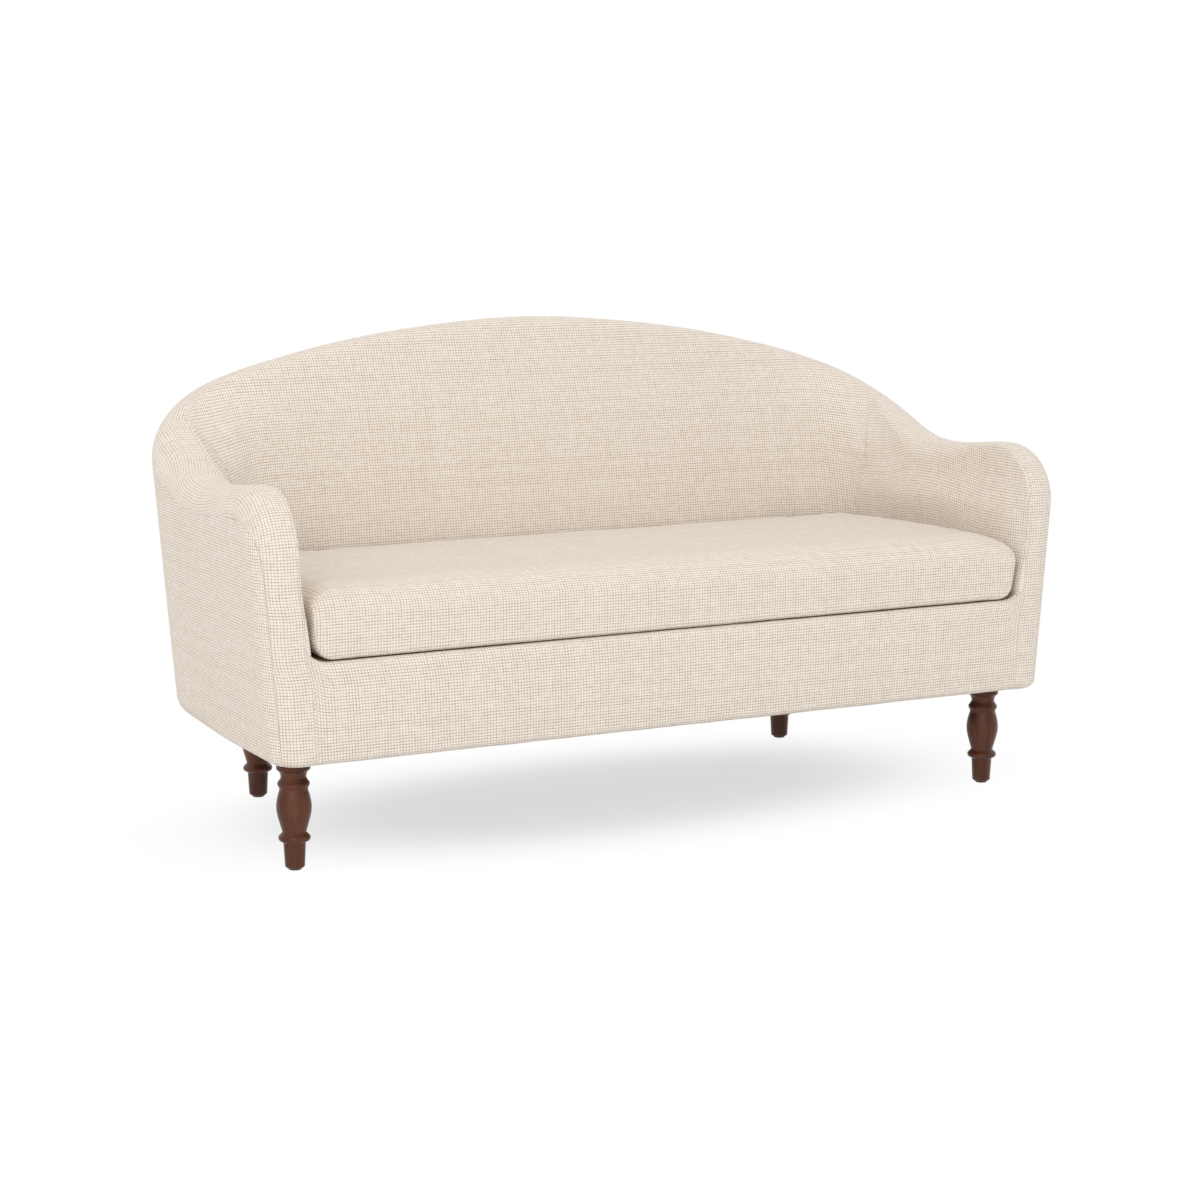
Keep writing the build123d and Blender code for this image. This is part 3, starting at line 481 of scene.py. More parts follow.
# Places on the turn under the body: flat from -2 to -1, then round to the wall at 0
TURN_LEVELS = [-2.0, -1.5] + [-1.0 + i / 8 for i in range(8)]
SMOOTH_ANGLE = math.radians(60)
LEAST_LENGTH = 1e-12


def only(*objects: Piece) -> None:
    """Select just these objects, the first one active."""
    bpy.ops.object.select_all(action="DESELECT")
    for item in objects:
        item.select_set(True)
    bpy.context.view_layer.objects.active = objects[0]


def apply_modifier(piece: Piece, kind: str, **settings: object) -> None:
    """Add a modifier with its settings and apply it.

    Args:
        piece: The object that gets the modifier.
        kind: Blender's name of the modifier type.
        **settings: Values for the modifier's own fields.
    """
    modifier = piece.modifiers.new(kind.lower(), kind)
    for key, value in settings.items():
        setattr(modifier, key, value)
    only(piece)
    bpy.ops.object.modifier_apply(modifier=modifier.name)


def settle(piece: Piece, body: Body, slot: str, *nodes: str) -> Piece:
    """Let a finished piece ride on its body and stand for its CAD nodes.

    Args:
        piece: The finished object.
        body: Body that carries it.
        slot: Material slot of the record; not used.
        *nodes: CAD nodes that the piece replaces.

    Returns:
        The same object.
    """
    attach(piece, body.value)
    if nodes:
        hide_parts(*nodes)
    return piece


def mirrored(point: np.ndarray, place: float) -> np.ndarray:
    """Point of the right half, carried to the left half where the place is negative."""
    return point * np.array((1.0 if place >= 0 else -1.0, 1.0, 1.0))


def spread(first: float, last: float, pitch: float, fine_first: bool = True, fine_last: bool = True) -> list[float]:
    """Places from first to last, closer together beside a sewn edge.

    Args:
        first: First place.
        last: Last place.
        pitch: Spacing away from the edges, in metres.
        fine_first: Add the close places at the first end.
        fine_last: Add the close places at the last end.

    Returns:
        The places in order.
    """
    close = [d for d in CLOSE_STEPS if d < CLOSE_SHARE * (last - first)]
    begin = [first + d for d in close] if fine_first else [first]
    finish = [last - d for d in reversed(close)] if fine_last else [last]
    count = max(int(round((finish[0] - begin[-1]) / pitch)), 1)
    middle = [begin[-1] + (finish[0] - begin[-1]) * i / count for i in range(1, count)]
    return begin + middle + finish


def wall_levels(pitch: float) -> list[float]:
    """Shares up a wall from 0 to 1, closer at the top seam."""
    return [d / WALL_HEIGHT for d in spread(0.0, WALL_HEIGHT, pitch, fine_first=False)]


def sewn(distance: float, radius: float) -> float:
    """Depth that cloth dives by beside its seam.

    Args:
        distance: Distance from the seam.
        radius: Radius of the rounding at the seam.

    Returns:
        The depth.
    """
    if distance >= radius:
        return 0.0
    away = (radius - max(distance, 0.0)) / radius
    return radius * (1 - math.sqrt(max(1 - away * away, 0.0)))


def rolled(distance: float, radius: float) -> float:
    """Extra length of cloth between a seam and a point beside it.

    Args:
        distance: Distance from the seam.
        radius: Radius of the rounding at the seam.

    Returns:
        The length beyond the straight distance.
    """
    if distance >= radius:
        return radius * (math.pi / 2 - 1)
    return radius * math.asin(1 - max(distance, 0.0) / radius) * -1 + radius * (math.pi / 2 - 1) + radius - distance


@dataclass
class ClothPanel:
    """One sewn panel: a fine grid laid on a surface, with its weave laid out in its own UV map in metres.

    surface, cloth and relief give the point, the place on the flat cloth and the height over the surface for a column
    and a row. outward is a direction that the middle of the panel looks in.
    """

    name: str
    columns: Sequence[float]
    rows: Sequence[float]
    surface: Callable[[float, float], np.ndarray]
    cloth: Callable[[float, float], tuple[float, float]]
    relief: Callable[[float, float], float]
    outward: tuple[float, float, float]
    thickness: float = 0.0035

    def grid(self, value: Callable) -> np.ndarray:
        """Value of a function of column and row at every point of the panel."""
        return np.array([[value(u, v) for v in self.rows] for u in self.columns])

    def shaped(self) -> tuple[np.ndarray, bool]:
        """Points of the panel with the relief of its cloth.

        Returns:
            The points by column and row, and whether the plain grid's faces look inward.
        """
        base = self.grid(self.surface)
        normal = np.cross(np.gradient(base, axis=0), np.gradient(base, axis=1))
        normal = normal / np.maximum(np.linalg.norm(normal, axis=2, keepdims=True), LEAST_LENGTH)
        flip = float(np.dot(normal[len(self.columns) // 2, len(self.rows) // 2], self.outward)) < 0
        return base + (-normal if flip else normal) * self.grid(self.relief)[:, :, None], flip

    def build(self) -> Piece:
        """Model the panel from a grid.

        Returns:
            The panel, closed and with its place in its mesh.
        """
        across, up = len(self.columns), len(self.rows)
        bpy.ops.object.select_all(action="DESELECT")
        bpy.ops.mesh.primitive_grid_add(x_subdivisions=across - 1, y_subdivisions=up - 1, size=2, calc_uvs=True)
        piece = bpy.context.object
        piece.name = piece.data.name = self.name
        flat = mesh_points(piece.data)
        column = np.rint((flat[:, 0] + 1) / 2 * (across - 1)).astype(int)
        row = np.rint((flat[:, 1] + 1) / 2 * (up - 1)).astype(int)
        points, flip = self.shaped()
        piece.data.vertices.foreach_set("co", points[column, row].ravel())
        corner = np.empty(len(piece.data.loops), dtype=int)
        piece.data.loops.foreach_get("vertex_index", corner)
        layer = piece.data.uv_layers[0]
        layer.data.foreach_set("uv", self.grid(self.cloth)[column, row][corner].ravel())
        layer.name = "weave"
        piece.data.update()
        if flip:
            only(piece)
            bpy.ops.object.mode_set(mode="EDIT")
            bpy.ops.mesh.select_all(action="SELECT")
            bpy.ops.mesh.flip_normals()
            bpy.ops.object.mode_set(mode="OBJECT")
        apply_modifier(piece, "SOLIDIFY", thickness=self.thickness, offset=-1.0)
        only(piece)
        bpy.ops.object.shade_smooth_by_angle(angle=SMOOTH_ANGLE)
        return piece


def mesh_points(mesh: bpy.types.Mesh) -> np.ndarray:
    """Vertices of a mesh as rows."""
    flat = np.empty(len(mesh.vertices) * 3)
    mesh.vertices.foreach_get("co", flat)
    return flat.reshape(-1, 3)


# Node helpers


class Nodes:
    """A node tree with short calls to add and join its nodes."""

    def __init__(self, tree: bpy.types.NodeTree) -> None:
        """Keep the tree."""
        self.tree = tree

    def fill(self, node: Node, inputs: dict) -> None:
        """Set a node's inputs or join them to sockets.

        Args:
            node: The node.
            inputs: Values or sockets by input name or number.
        """
        for key, value in inputs.items():
            if isinstance(value, Socket):
                self.tree.links.new(value, node.inputs[key])
            else:
                node.inputs[key].default_value = value

    def add(self, kind: str, inputs: Optional[dict] = None, **fields: object) -> Node:
        """Add a node, set its fields and fill its inputs.

        Args:
            kind: Node type.
            inputs: Values or sockets by input name or number.
            **fields: The node's own settings.

        Returns:
            The new node.
        """
        made = self.tree.nodes.new(kind)
        for key, value in fields.items():
            setattr(made, key, value)
        self.fill(made, inputs or {})
        return made

    def use(self, group: bpy.types.NodeTree, place: Socket) -> Sockets:
        """Outputs of a node group placed in the tree and given its vector."""
        return self.add("ShaderNodeGroup", {0: place}, node_tree=group).outputs

    def math(self, operation: str, *values: object, clamp: bool = False) -> Socket:
        """Result of a math node on values or sockets."""
        return self.add("ShaderNodeMath", dict(enumerate(values)), operation=operation, use_clamp=clamp).outputs[0]

    def noise(self, vector: Socket, scale: float, detail: float = 2.0, rough: float = 0.5) -> Socket:
        """Value of a noise texture."""
        inputs = {"Vector": vector, "Scale": scale, "Detail": detail, "Roughness": rough}
        return self.add("ShaderNodeTexNoise", inputs).outputs[0]

    def span(self, value: Socket, low: float, high: float, to: tuple[float, float] = (0.0, 1.0)) -> Socket:
        """Smooth step of a value between two levels, from one result to another."""
        inputs = {0: value, 1: low, 2: high, 3: to[0], 4: to[1]}
        return self.add("ShaderNodeMapRange", inputs, interpolation_type="SMOOTHSTEP").outputs[0]

    def mix(self, share: object, first: object, second: object) -> Socket:
        """Colour mixed from two colours."""
        return self.add("ShaderNodeMix", {0: share, 6: first, 7: second}, data_type="RGBA").outputs[2]

    def stretch(self, vector: Socket, scale: Sequence[float]) -> Socket:
        """Vector scaled by three factors."""
        return self.add("ShaderNodeMapping", {"Vector": vector, "Scale": tuple(scale)}).outputs[0]

    def seen(self) -> Socket:
        """1 where a surface is seen directly, in a reflection or through glass, and 0 where it only lights others."""
        path = self.add("ShaderNodeLightPath").outputs
        seen = self.math("MAXIMUM", path["Is Camera Ray"], path["Is Glossy Ray"])
        return self.math("MAXIMUM", seen, path["Is Transmission Ray"])


def new_group(name: str, outputs: Sequence[str]) -> tuple[bpy.types.NodeTree, Nodes, Socket, Node]:
    """Make an empty node group with one vector input.

    Args:
        name: Name of the group.
        outputs: Names of its value outputs.

    Returns:
        The group, its helper, its vector and its output node.
    """
    group = bpy.data.node_groups.new(name, "ShaderNodeTree")
    group.interface.new_socket("Vector", in_out="INPUT", socket_type="NodeSocketVector")
    for item in outputs:
        group.interface.new_socket(item, in_out="OUTPUT", socket_type="NodeSocketFloat")
    nodes = Nodes(group)
    return group, nodes, nodes.add("NodeGroupInput").outputs[0], nodes.add("NodeGroupOutput")


@dataclass(frozen=True)
class CheckWeave:
    """Small check: cream yarn cells between thin tan lines that run both ways."""

    pitches: tuple[float, float] = (0.0051, 0.00485)
    line_share: float = 0.32
    line_edges: tuple[float, float] = (1.7, 0.3)
    line_strengths: tuple[float, float] = (0.92, 1.08)
    drift: float = 0.0016
    drift_scale: float = 22.0
    shake: float = 0.0006
    shake_scale: float = 260.0
    first_seeds: tuple[float, float] = (17.0, 107.0)
    slub_seeds: tuple[float, float] = (5.0, 6.0)
    slub_scale: float = 55.0
    thread_gap: float = 3.7
    rough: float = 0.6
    tone_strength: float = 0.25
    slub_strengths: tuple[float, float] = (0.45, 0.85)
    pillow_power: float = 2.6
    pillow_height: float = 0.8
    yarn_scale: float = 900.0
    yarn_height: float = 0.3

    def moved(self, nodes: Nodes, place: Socket, scale: float, reach: float) -> Socket:
        """Place shifted a little by a noise.

        Args:
            nodes: Helper of the tree.
            place: The place as a vector.
            scale: Scale of the noise.
            reach: Length of the shift in metres.

        Returns:
            The shifted place.
        """
        wander = nodes.add("ShaderNodeTexNoise", {"Vector": place, "Scale": scale, "Detail": 2.0}).outputs[1]
        centred = nodes.add("ShaderNodeVectorMath", {0: wander, 1: (0.5, 0.5, 0.5)}, operation="SUBTRACT")
        scaled = nodes.add("ShaderNodeVectorMath", {0: centred.outputs[0], "Scale": reach}, operation="SCALE")
        return nodes.add("ShaderNodeVectorMath", {0: place, 1: scaled.outputs[0]}, operation="ADD").outputs[0]

    def threads(self, nodes: Nodes, split: Sockets, axis: int) -> tuple[Socket, Socket, Socket]:
        """Tan lines across one axis of the cloth.

        Args:
            nodes: Helper of the tree.
            split: The place's own coordinates.
            axis: Axis that counts the lines.

        Returns:
            Masks of the lines, the distance from a cell's middle and the yarn's unevenness.
        """
        count = nodes.math("DIVIDE", split[axis], self.pitches[axis])
        number = nodes.math("FLOOR", nodes.math("ADD", count, 0.5))
        fold = nodes.math("ABSOLUTE", nodes.math("SUBTRACT", nodes.math("FRACT", count), 0.5))
        fold = nodes.math("MULTIPLY", fold, 2.0)
        line = nodes.span(fold, *(1.0 - self.line_share * edge for edge in self.line_edges))
        seed = nodes.math("ADD", number, self.first_seeds[axis])
        tone = nodes.add("ShaderNodeTexWhiteNoise", {"W": seed}, noise_dimensions="1D").outputs[0]
        run = nodes.math("MULTIPLY", split[1 - axis], self.slub_scale)
        gap = nodes.math("MULTIPLY", number, self.thread_gap)
        along = nodes.add("ShaderNodeCombineXYZ", {0: gap, 1: run, 2: self.slub_seeds[axis]}).outputs[0]
        slub = nodes.noise(along, 1.0, 2.0, self.rough)
        strength = nodes.math("MULTIPLY", tone, self.tone_strength)
        strength = nodes.math("ADD", strength, nodes.span(slub, 0.30, 0.7, self.slub_strengths))
        line = nodes.math("MULTIPLY", nodes.math("MULTIPLY", line, strength), self.line_strengths[axis])
        return line, fold, slub

    def group(self) -> bpy.types.NodeTree:
        """Node group with the weave's masks.

        Returns:
            A group with outputs for the lines, their crossings, the yarn's unevenness and the height.
        """
        known = bpy.data.node_groups.get("check_weave")
        if known:
            return known
        group, nodes, place, end = new_group("check_weave", ("Lines", "Crossings", "Slub", "Height"))
        moved = self.moved(nodes, place, self.drift_scale, self.drift)
        moved = self.moved(nodes, moved, self.shake_scale, self.shake)
        split = nodes.add("ShaderNodeSeparateXYZ", {0: moved}).outputs
        lines, folds, slubs = zip(*(self.threads(nodes, split, axis) for axis in (0, 1)))
        pillow = [nodes.math("SUBTRACT", 1.0, nodes.math("POWER", fold, self.pillow_power)) for fold in folds]
        height = nodes.math("MULTIPLY", nodes.math("MULTIPLY", *pillow), self.pillow_height)
        yarn = nodes.noise(nodes.stretch(moved, (self.yarn_scale,) * 3), 1.0, 2.0, self.rough)
        masks = {
            "Lines": nodes.math("MAXIMUM", *lines),
            "Crossings": nodes.math("MULTIPLY", *lines),
            "Slub": nodes.math("MULTIPLY", nodes.math("ADD", *slubs), 0.5),
            "Height": nodes.math("ADD", height, nodes.math("MULTIPLY", yarn, self.yarn_height)),
        }
        nodes.fill(end, masks)
        return group


@dataclass(frozen=True)
class WalnutGrain:
    """Dark walnut: long fine grain up a turned leg."""

    wide_scale: tuple[float, float, float] = (46.0, 46.0, 5.0)
    fine_scale: tuple[float, float, float] = (420.0, 420.0, 16.0)
    wide_share: float = 0.7
    fine_share: float = 0.3
    rough: float = 0.6

    def group(self) -> bpy.types.NodeTree:
        """Node group with the grain's masks.

        Returns:
            A group with outputs for the grain and its pores.
        """
        known = bpy.data.node_groups.get("walnut_grain")
        if known:
            return known
        group, nodes, place, end = new_group("walnut_grain", ("Grain", "Pores"))
        wide = nodes.noise(nodes.stretch(place, self.wide_scale), 1.0, 4.0, self.rough)
        fine = nodes.noise(nodes.stretch(place, self.fine_scale), 1.0, 3.0, self.rough)
        parts = nodes.math("MULTIPLY", wide, self.wide_share), nodes.math("MULTIPLY", fine, self.fine_share)
        nodes.fill(end, {"Grain": nodes.math("ADD", *parts), "Pores": nodes.span(fine, 0.56, 0.7)})
        return group


# Finishes


@dataclass(frozen=True)
class Finish:
    """Base of every finish: a named material with one Principled shader."""

    name: str
    roughness: float = 0.8

    def material(self) -> bpy.types.Material:
        """The finish as a material, made once.

        Returns:
            The material.
        """
        known = bpy.data.materials.get(self.name)
        if known:
            return known
        made = bpy.data.materials.new(self.name)
        made.use_nodes = True
        shader = made.node_tree.nodes["Principled BSDF"]
        shader.inputs["Roughness"].default_value = self.roughness
        self.dress(Nodes(made.node_tree), shader)
        return made

    def dress(self, nodes: Nodes, shader: Node) -> None:
        """Add the finish's own nodes."""

    def bump(self, nodes: Nodes, shader: Node, height: Socket, distance: float, strength: float) -> None:
        """Let a height stand out on the shader."""
        made = nodes.add("ShaderNodeBump", {"Height": height, "Distance": distance, "Strength": strength})
        nodes.fill(shader, {"Normal": made.outputs[0]})

    def put_on(self, piece: Piece) -> None:
        """Give the finish to every slot of a piece.

        Args:
            piece: The object to dress.
        """
        if not piece.data.materials:
            piece.data.materials.append(self.material())
        for i in range(len(piece.data.materials)):
            piece.data.materials[i] = self.material()


@dataclass(frozen=True)
class CoverCloth(Finish):
    """Cream upholstery cloth with a small tan check."""

    cream: Colour = (0.880, 0.835, 0.770, 1.0)
    tan: Colour = (0.575, 0.430, 0.300, 1.0)
    shade: Colour = (0.400, 0.290, 0.195, 1.0)
    slub_tone: Colour = (0.62, 0.52, 0.42, 1.0)
    patch_tone: Colour = (0.60, 0.51, 0.42, 1.0)
    line_share: float = 0.92
    crossing_share: float = 0.8
    slub_share: float = 0.07
    patch_share: float = 0.03
    patch_scale: float = 9.0
    relief: float = 0.0009
    weave: CheckWeave = CheckWeave()

    def dress(self, nodes: Nodes, shader: Node) -> None:
        """Args:
            nodes: Helper of the material's tree.
            shader: Its Principled shader.
        """
        place = nodes.add("ShaderNodeUVMap", uv_map="weave").outputs[0]
        check = nodes.use(self.weave.group(), place)
        patch = nodes.noise(place, self.patch_scale, 3.0, 0.55)
        layers = (
            (nodes.math("MULTIPLY", check["Lines"], self.line_share, clamp=True), self.tan),
            (nodes.math("MULTIPLY", check["Crossings"], self.crossing_share, clamp=True), self.shade),
            (nodes.span(check["Slub"], 0.35, 0.65, (0.0, self.slub_share)), self.slub_tone),
            (nodes.span(patch, 0.35, 0.7, (0.0, self.patch_share)), self.patch_tone),
        )
        colour = self.cream
        for share, tone in layers:
            colour = nodes.mix(share, colour, tone)
        gloss = {"Sheen Weight": 0.12, "Sheen Roughness": 0.6, "Specular IOR Level": 0.2}
        nodes.fill(shader, {"Base Color": colour, **gloss})
        self.bump(nodes, shader, check["Height"], self.relief, 0.8)


@dataclass(frozen=True)
class LegWood(Finish):
    """Stained walnut with a satin lacquer."""

    dark: Colour = (0.064, 0.021, 0.011, 1.0)
    light: Colour = (0.140, 0.047, 0.023, 1.0)
    pore: Colour = (0.040, 0.015, 0.009, 1.0)
    pore_share: float = 0.35
    gloss_span: tuple[float, float] = (0.36, 0.27)
    relief: float = 0.0004

    def dress(self, nodes: Nodes, shader: Node) -> None:
        """Grain in colour and gloss.

        Args:
            nodes: Helper of the material's tree.
            shader: Its Principled shader.
        """
        place = nodes.add("ShaderNodeTexCoord").outputs["Object"]
        wood = nodes.use(WalnutGrain().group(), place)
        colour = nodes.mix(nodes.span(wood["Grain"], 0.34, 0.68), self.dark, self.light)
        colour = nodes.mix(nodes.math("MULTIPLY", wood["Pores"], self.pore_share), colour, self.pore)
        rough = nodes.span(wood["Grain"], 0.3, 0.7, self.gloss_span)
        gloss = {"Specular IOR Level": 0.15, "Coat Weight": 0.12, "Coat Roughness": 0.12}
        nodes.fill(shader, {"Base Color": colour, "Roughness": rough, **gloss})
        self.bump(nodes, shader, wood["Grain"], self.relief, 0.3)


@dataclass(frozen=True)
class Plain(Finish):
    """A plain stuff with two close tones and a fine grain, such as frame timber, foam, lining or steel."""

    light: Colour = (0.6, 0.6, 0.6, 1.0)
    dark: Colour = (0.4, 0.4, 0.4, 1.0)
    stretch: tuple[float, ...] = (60.0, 60.0, 60.0)
    metal: float = 0.0
    relief: float = 0.0002

    def dress(self, nodes: Nodes, shader: Node) -> None:
        """Mottle between the two tones, with a fine relief.

        Args:
            nodes: Helper of the material's tree.
            shader: Its Principled shader.
        """
        place = nodes.add("ShaderNodeTexCoord").outputs["Object"]
        grain = nodes.noise(nodes.stretch(place, self.stretch), 1.0, 4.0, 0.6)
        colour = nodes.mix(nodes.span(grain, 0.32, 0.68), self.dark, self.light)
        nodes.fill(shader, {"Base Color": colour, "Metallic": self.metal})
        self.bump(nodes, shader, grain, self.relief, 0.5)


COVER = CoverCloth("cover_cloth", 0.92)
LEG_WOOD = LegWood("leg_walnut", 0.36)
METAL = {"metal": 1.0, "relief": 0.00005}
PLAIN_FINISHES: dict[str, Plain] = {
    "frame_wood": Plain("frame_timber", 0.7, (0.58, 0.43, 0.27, 1.0), (0.46, 0.32, 0.19, 1.0), (14.0, 90.0, 90.0)),
    "steel": Plain("zinc_steel", 0.35, (0.62, 0.62, 0.60, 1.0), (0.48, 0.48, 0.47, 1.0), (200.0,) * 3, **METAL),
    "foam": Plain("pad_foam", 0.95, (0.80, 0.76, 0.62, 1.0), (0.70, 0.66, 0.52, 1.0), (400.0,) * 3),
    "lining": Plain("deck_lining", 0.9, (0.72, 0.66, 0.57, 1.0), (0.62, 0.56, 0.48, 1.0), (700.0,) * 3),
    "webbing": Plain("elastic_webbing", 0.85, (0.55, 0.52, 0.46, 1.0), (0.36, 0.34, 0.30, 1.0), (500.0,) * 3),
    "dust_cloth": Plain("dust_cloth", 0.95, (0.030, 0.030, 0.032, 1.0), (0.016, 0.016, 0.018, 1.0), (600.0,) * 3),
    "glide": Plain("glide_nylon", 0.5, (0.045, 0.040, 0.036, 1.0), (0.028, 0.025, 0.023, 1.0), (300.0,) * 3),
    "zip_metal": Plain("zip_metal", 0.35, (0.70, 0.66, 0.58, 1.0), (0.55, 0.52, 0.46, 1.0), (400.0,) * 3, **METAL),
}


# Covers of the body


@dataclass
class BoxingBand:
    """The band up the arm fronts and along the top, in an arm piece on each side and one across the back."""

    shell: Shell
    soft: SoftForm
    pitch: float = 0.0085
    row_pitch: float = 0.0035
    facing_cloth: float = 0.056
    wrap_cloth: float = 0.034
    seam_turn: float = 48.0
    top_turn: float = 84.0
    turn_ease: Ease = Ease(-0.12, 0.92)
    facing_seam: float = 0.0015
    facing_end: Ease = Ease(0.5, 0.3)
    inner_seam: float = 0.0016
    front_share: float = 0.3
    front_ease: float = 0.15
    outer_seam: float = 0.0006
    foot_round: float = 0.013
    join_seam: float = 0.002
    crown: float = 0.0016
    wave: Ripple = Ripple(0.0003, 0.11, 2.3)
    wave_calm: float = 0.5
    arm_cloth_start: float = 0.4
    back_cloth_start: float = 0.2

    @property
    def rise(self) -> float:
        """Length of the band's straight part up an arm front."""
        return self.shell.nose_height - self.shell.leg_height

    @property
    def bend(self) -> float:
        """Length of the band round an arm's nose."""
        return self.shell.nose_radius * math.pi / 2

    def section(self, place: float) -> tuple[np.ndarray, np.ndarray, np.ndarray, float, float]:
        """Section of the band at a distance along it from the foot of the arm front.

        Args:
            place: Distance along the band.

        Returns:
            Point on the top line, outward and upward directions, outer edge and width.
        """
        shell, soft = self.shell, self.soft
        if place <= self.rise:
            z = shell.leg_height + max(place, 0.0)
            back = sewn(max(place, 0.0), self.foot_round) + max(-place, 0.0)
            origin = np.array((shell.half_width, shell.front + back, z))
            width = shell.arm_wall(0, z) - soft.seam_shift(0, z) + soft.facing_reach(z) - back
            return origin, np.array((1.0, 0, 0)), np.array((0, -1.0, 0)), shell.outer(0, z) - back, width
        if place <= self.rise + self.bend:
            angle = (place - self.rise) / shell.nose_radius
            away = np.array((0, -math.cos(angle), math.sin(angle)))
            centre = np.array((shell.half_width, shell.front + shell.nose_radius, shell.nose_height))
            z = shell.nose_height + (shell.nose_radius - shell.roll_radius) * away[2]
            run = shell.nose_radius * (1 + away[1])
            width = shell.arm_wall(run, z) - soft.seam_shift(run, z)
            return centre + away * shell.nose_radius, np.array((1.0, 0, 0)), away, shell.outer(0, z), width
        run = shell.nose_radius + place - self.rise - self.bend
        x, y, angle = shell.plan(run)
        high = shell.crest(run)
        out = np.array((math.cos(angle), math.sin(angle), 0))
        edge = shell.outer(run, high - shell.roll_radius)
        width = shell.band_width(run) - soft.seam_shift(run, high)
        return np.array((x, y, high)), out, np.array((0, 0, 1.0)), edge, width

    def place_of(self, run: float) -> float:
        """Distance along the band at a run on top."""
        return self.rise + self.shell.nose_radius * (math.pi / 2 - 1) + run

    def reach(self, place: float) -> float:
        """Width of the cloth across the band, seam to seam."""
        radius = self.shell.roll_radius
        return self.section(place)[4] - radius + radius * math.pi / 2

    def past_nose(self, place: float) -> float:
        """Share of the way round the arm's nose, from its start."""
        return (place - self.rise) / self.bend

    def facing_depth(self, place: float) -> float:
        """Share of the facing seam's depth, which fades out over the nose."""
        return 1 - self.facing_end.at(self.past_nose(place))

    @property
    def seam_share(self) -> float:
        """Share at which the seam between the facing and the wrapped outside cloth lies."""
        return self.facing_cloth / (self.facing_cloth + self.wrap_cloth)

    def facing_width(self, place: float) -> float:
        """Cloth from the inner seam to the facing's outer seam, which lies on the corner's round."""
        turn = self.seam_turn + (self.top_turn - self.seam_turn) * self.turn_ease.at(self.past_nose(place))
        return self.reach(place) - self.shell.roll_radius * (math.pi / 2 - math.radians(turn))

    def along(self, place: float, share: float) -> float:
        """Cloth from the inner seam to a share, with the facing's seam at its own share.

        Args:
            place: Distance along the band.
            share: Share of the way across.

        Returns:
            The length of cloth.
        """
        seam = self.facing_width(place)
        if share <= self.seam_share:
            return seam * share / self.seam_share
        return seam + (self.reach(place) - seam) * (share - self.seam_share) / (1 - self.seam_share)

    def cloth(self, place: float, share: float) -> tuple[float, float]:
        """Place on the flat cloth: the facing's own, or past its seam the outside arm's.

        Args:
            place: Distance along the band.
            share: Share of the way across.

        Returns:
            The place in metres.
        """
        along = self.along(place, share)
        if share <= self.seam_share or self.facing_depth(place) <= 0:
            return along + self.arm_cloth_start, place
        shell = self.shell
        wrap = self.reach(place) - along
        angle = self.past_nose(place) * math.pi / 2
        if angle <= 0:
            return shell.roll_radius - wrap, shell.leg_height + place
        reach = shell.nose_radius - shell.roll_radius + wrap
        return shell.nose_radius - reach * math.cos(angle), shell.nose_height + reach * math.sin(angle)

    def point(self, place: float, share: float) -> np.ndarray:
        """Point of the band on the right half.

        Args:
            place: Distance along the band.
            share: Share of the way from its inner seam to its outer one.

        Returns:
            The point.
        """
        origin, out, away, edge, width = self.section(place)
        radius = self.shell.roll_radius
        flat = width - radius
        along = self.along(place, share)
        if along <= flat:
            return origin + out * (edge - width + along)
        angle = (along - flat) / radius
        return origin + out * (edge - radius + radius * math.sin(angle)) - away * radius * (1 - math.cos(angle))

    def shares(self) -> list[float]:
        """Places across the band, closer at the seams.

        Returns:
            The shares in order.
        """
        reach = self.facing_cloth + self.wrap_cloth
        facing = spread(0.0, self.facing_cloth, self.row_pitch)
        wrap = spread(0.0, self.wrap_cloth, self.row_pitch)[1:]
        return [d / reach for d in facing + [self.facing_cloth + d for d in wrap]]

    def relief(self, place: float, share: float, first: float, last: float, foot: bool) -> float:
        """Height of the cloth over its surface: sewn edges, a slight fill and uneven tension.

        Args:
            place: Distance along the band.
            share: Share of the way across.
            first: Distance where the piece begins.
            last: Distance where it ends.
            foot: Whether it begins at the foot of an arm front.

        Returns:
            The height in metres.
        """
        across = self.reach(place)
        along = self.along(place, share)
        depth = self.front_share + (1 - self.front_share) * smooth((place - self.rise) / self.front_ease)
        low = sewn(along, self.inner_seam * depth) + sewn(across - along, self.outer_seam)
        if foot:
            low += sewn(abs(along - self.facing_width(place)), self.facing_seam) * self.facing_depth(place)
        else:
            low += sewn(place - first, self.join_seam)
        low += sewn(last - place, self.join_seam)
        round_off = math.sin(math.pi * along / across)
        return self.crown * round_off + self.wave.at(place, along) * (1 - self.wave_calm * round_off) - low

    def build_arm(self, side: Side) -> Piece:
        """Model the band of one arm, from the underside up its front and back to the crease.

        Args:
            side: Which arm.

        Returns:
            The piece.
        """
        last = self.place_of(self.shell.crease_run)
        under = self.shell.turned_under
        panel = ClothPanel(
            f"arm_band_cover_{side.word}",
            [-under, -under / 2] + spread(0.0, last, self.pitch),
            self.shares(),
            lambda place, share: self.point(place, share) * side.mirror,
            self.cloth,
            lambda place, share: self.relief(place, share, 0.0, last, True),
            (0.0, -1.0, 0.3),
        )
        return settle(panel.build(), Body.FRAME, "upholstery", f"arm_band_{side.word}")

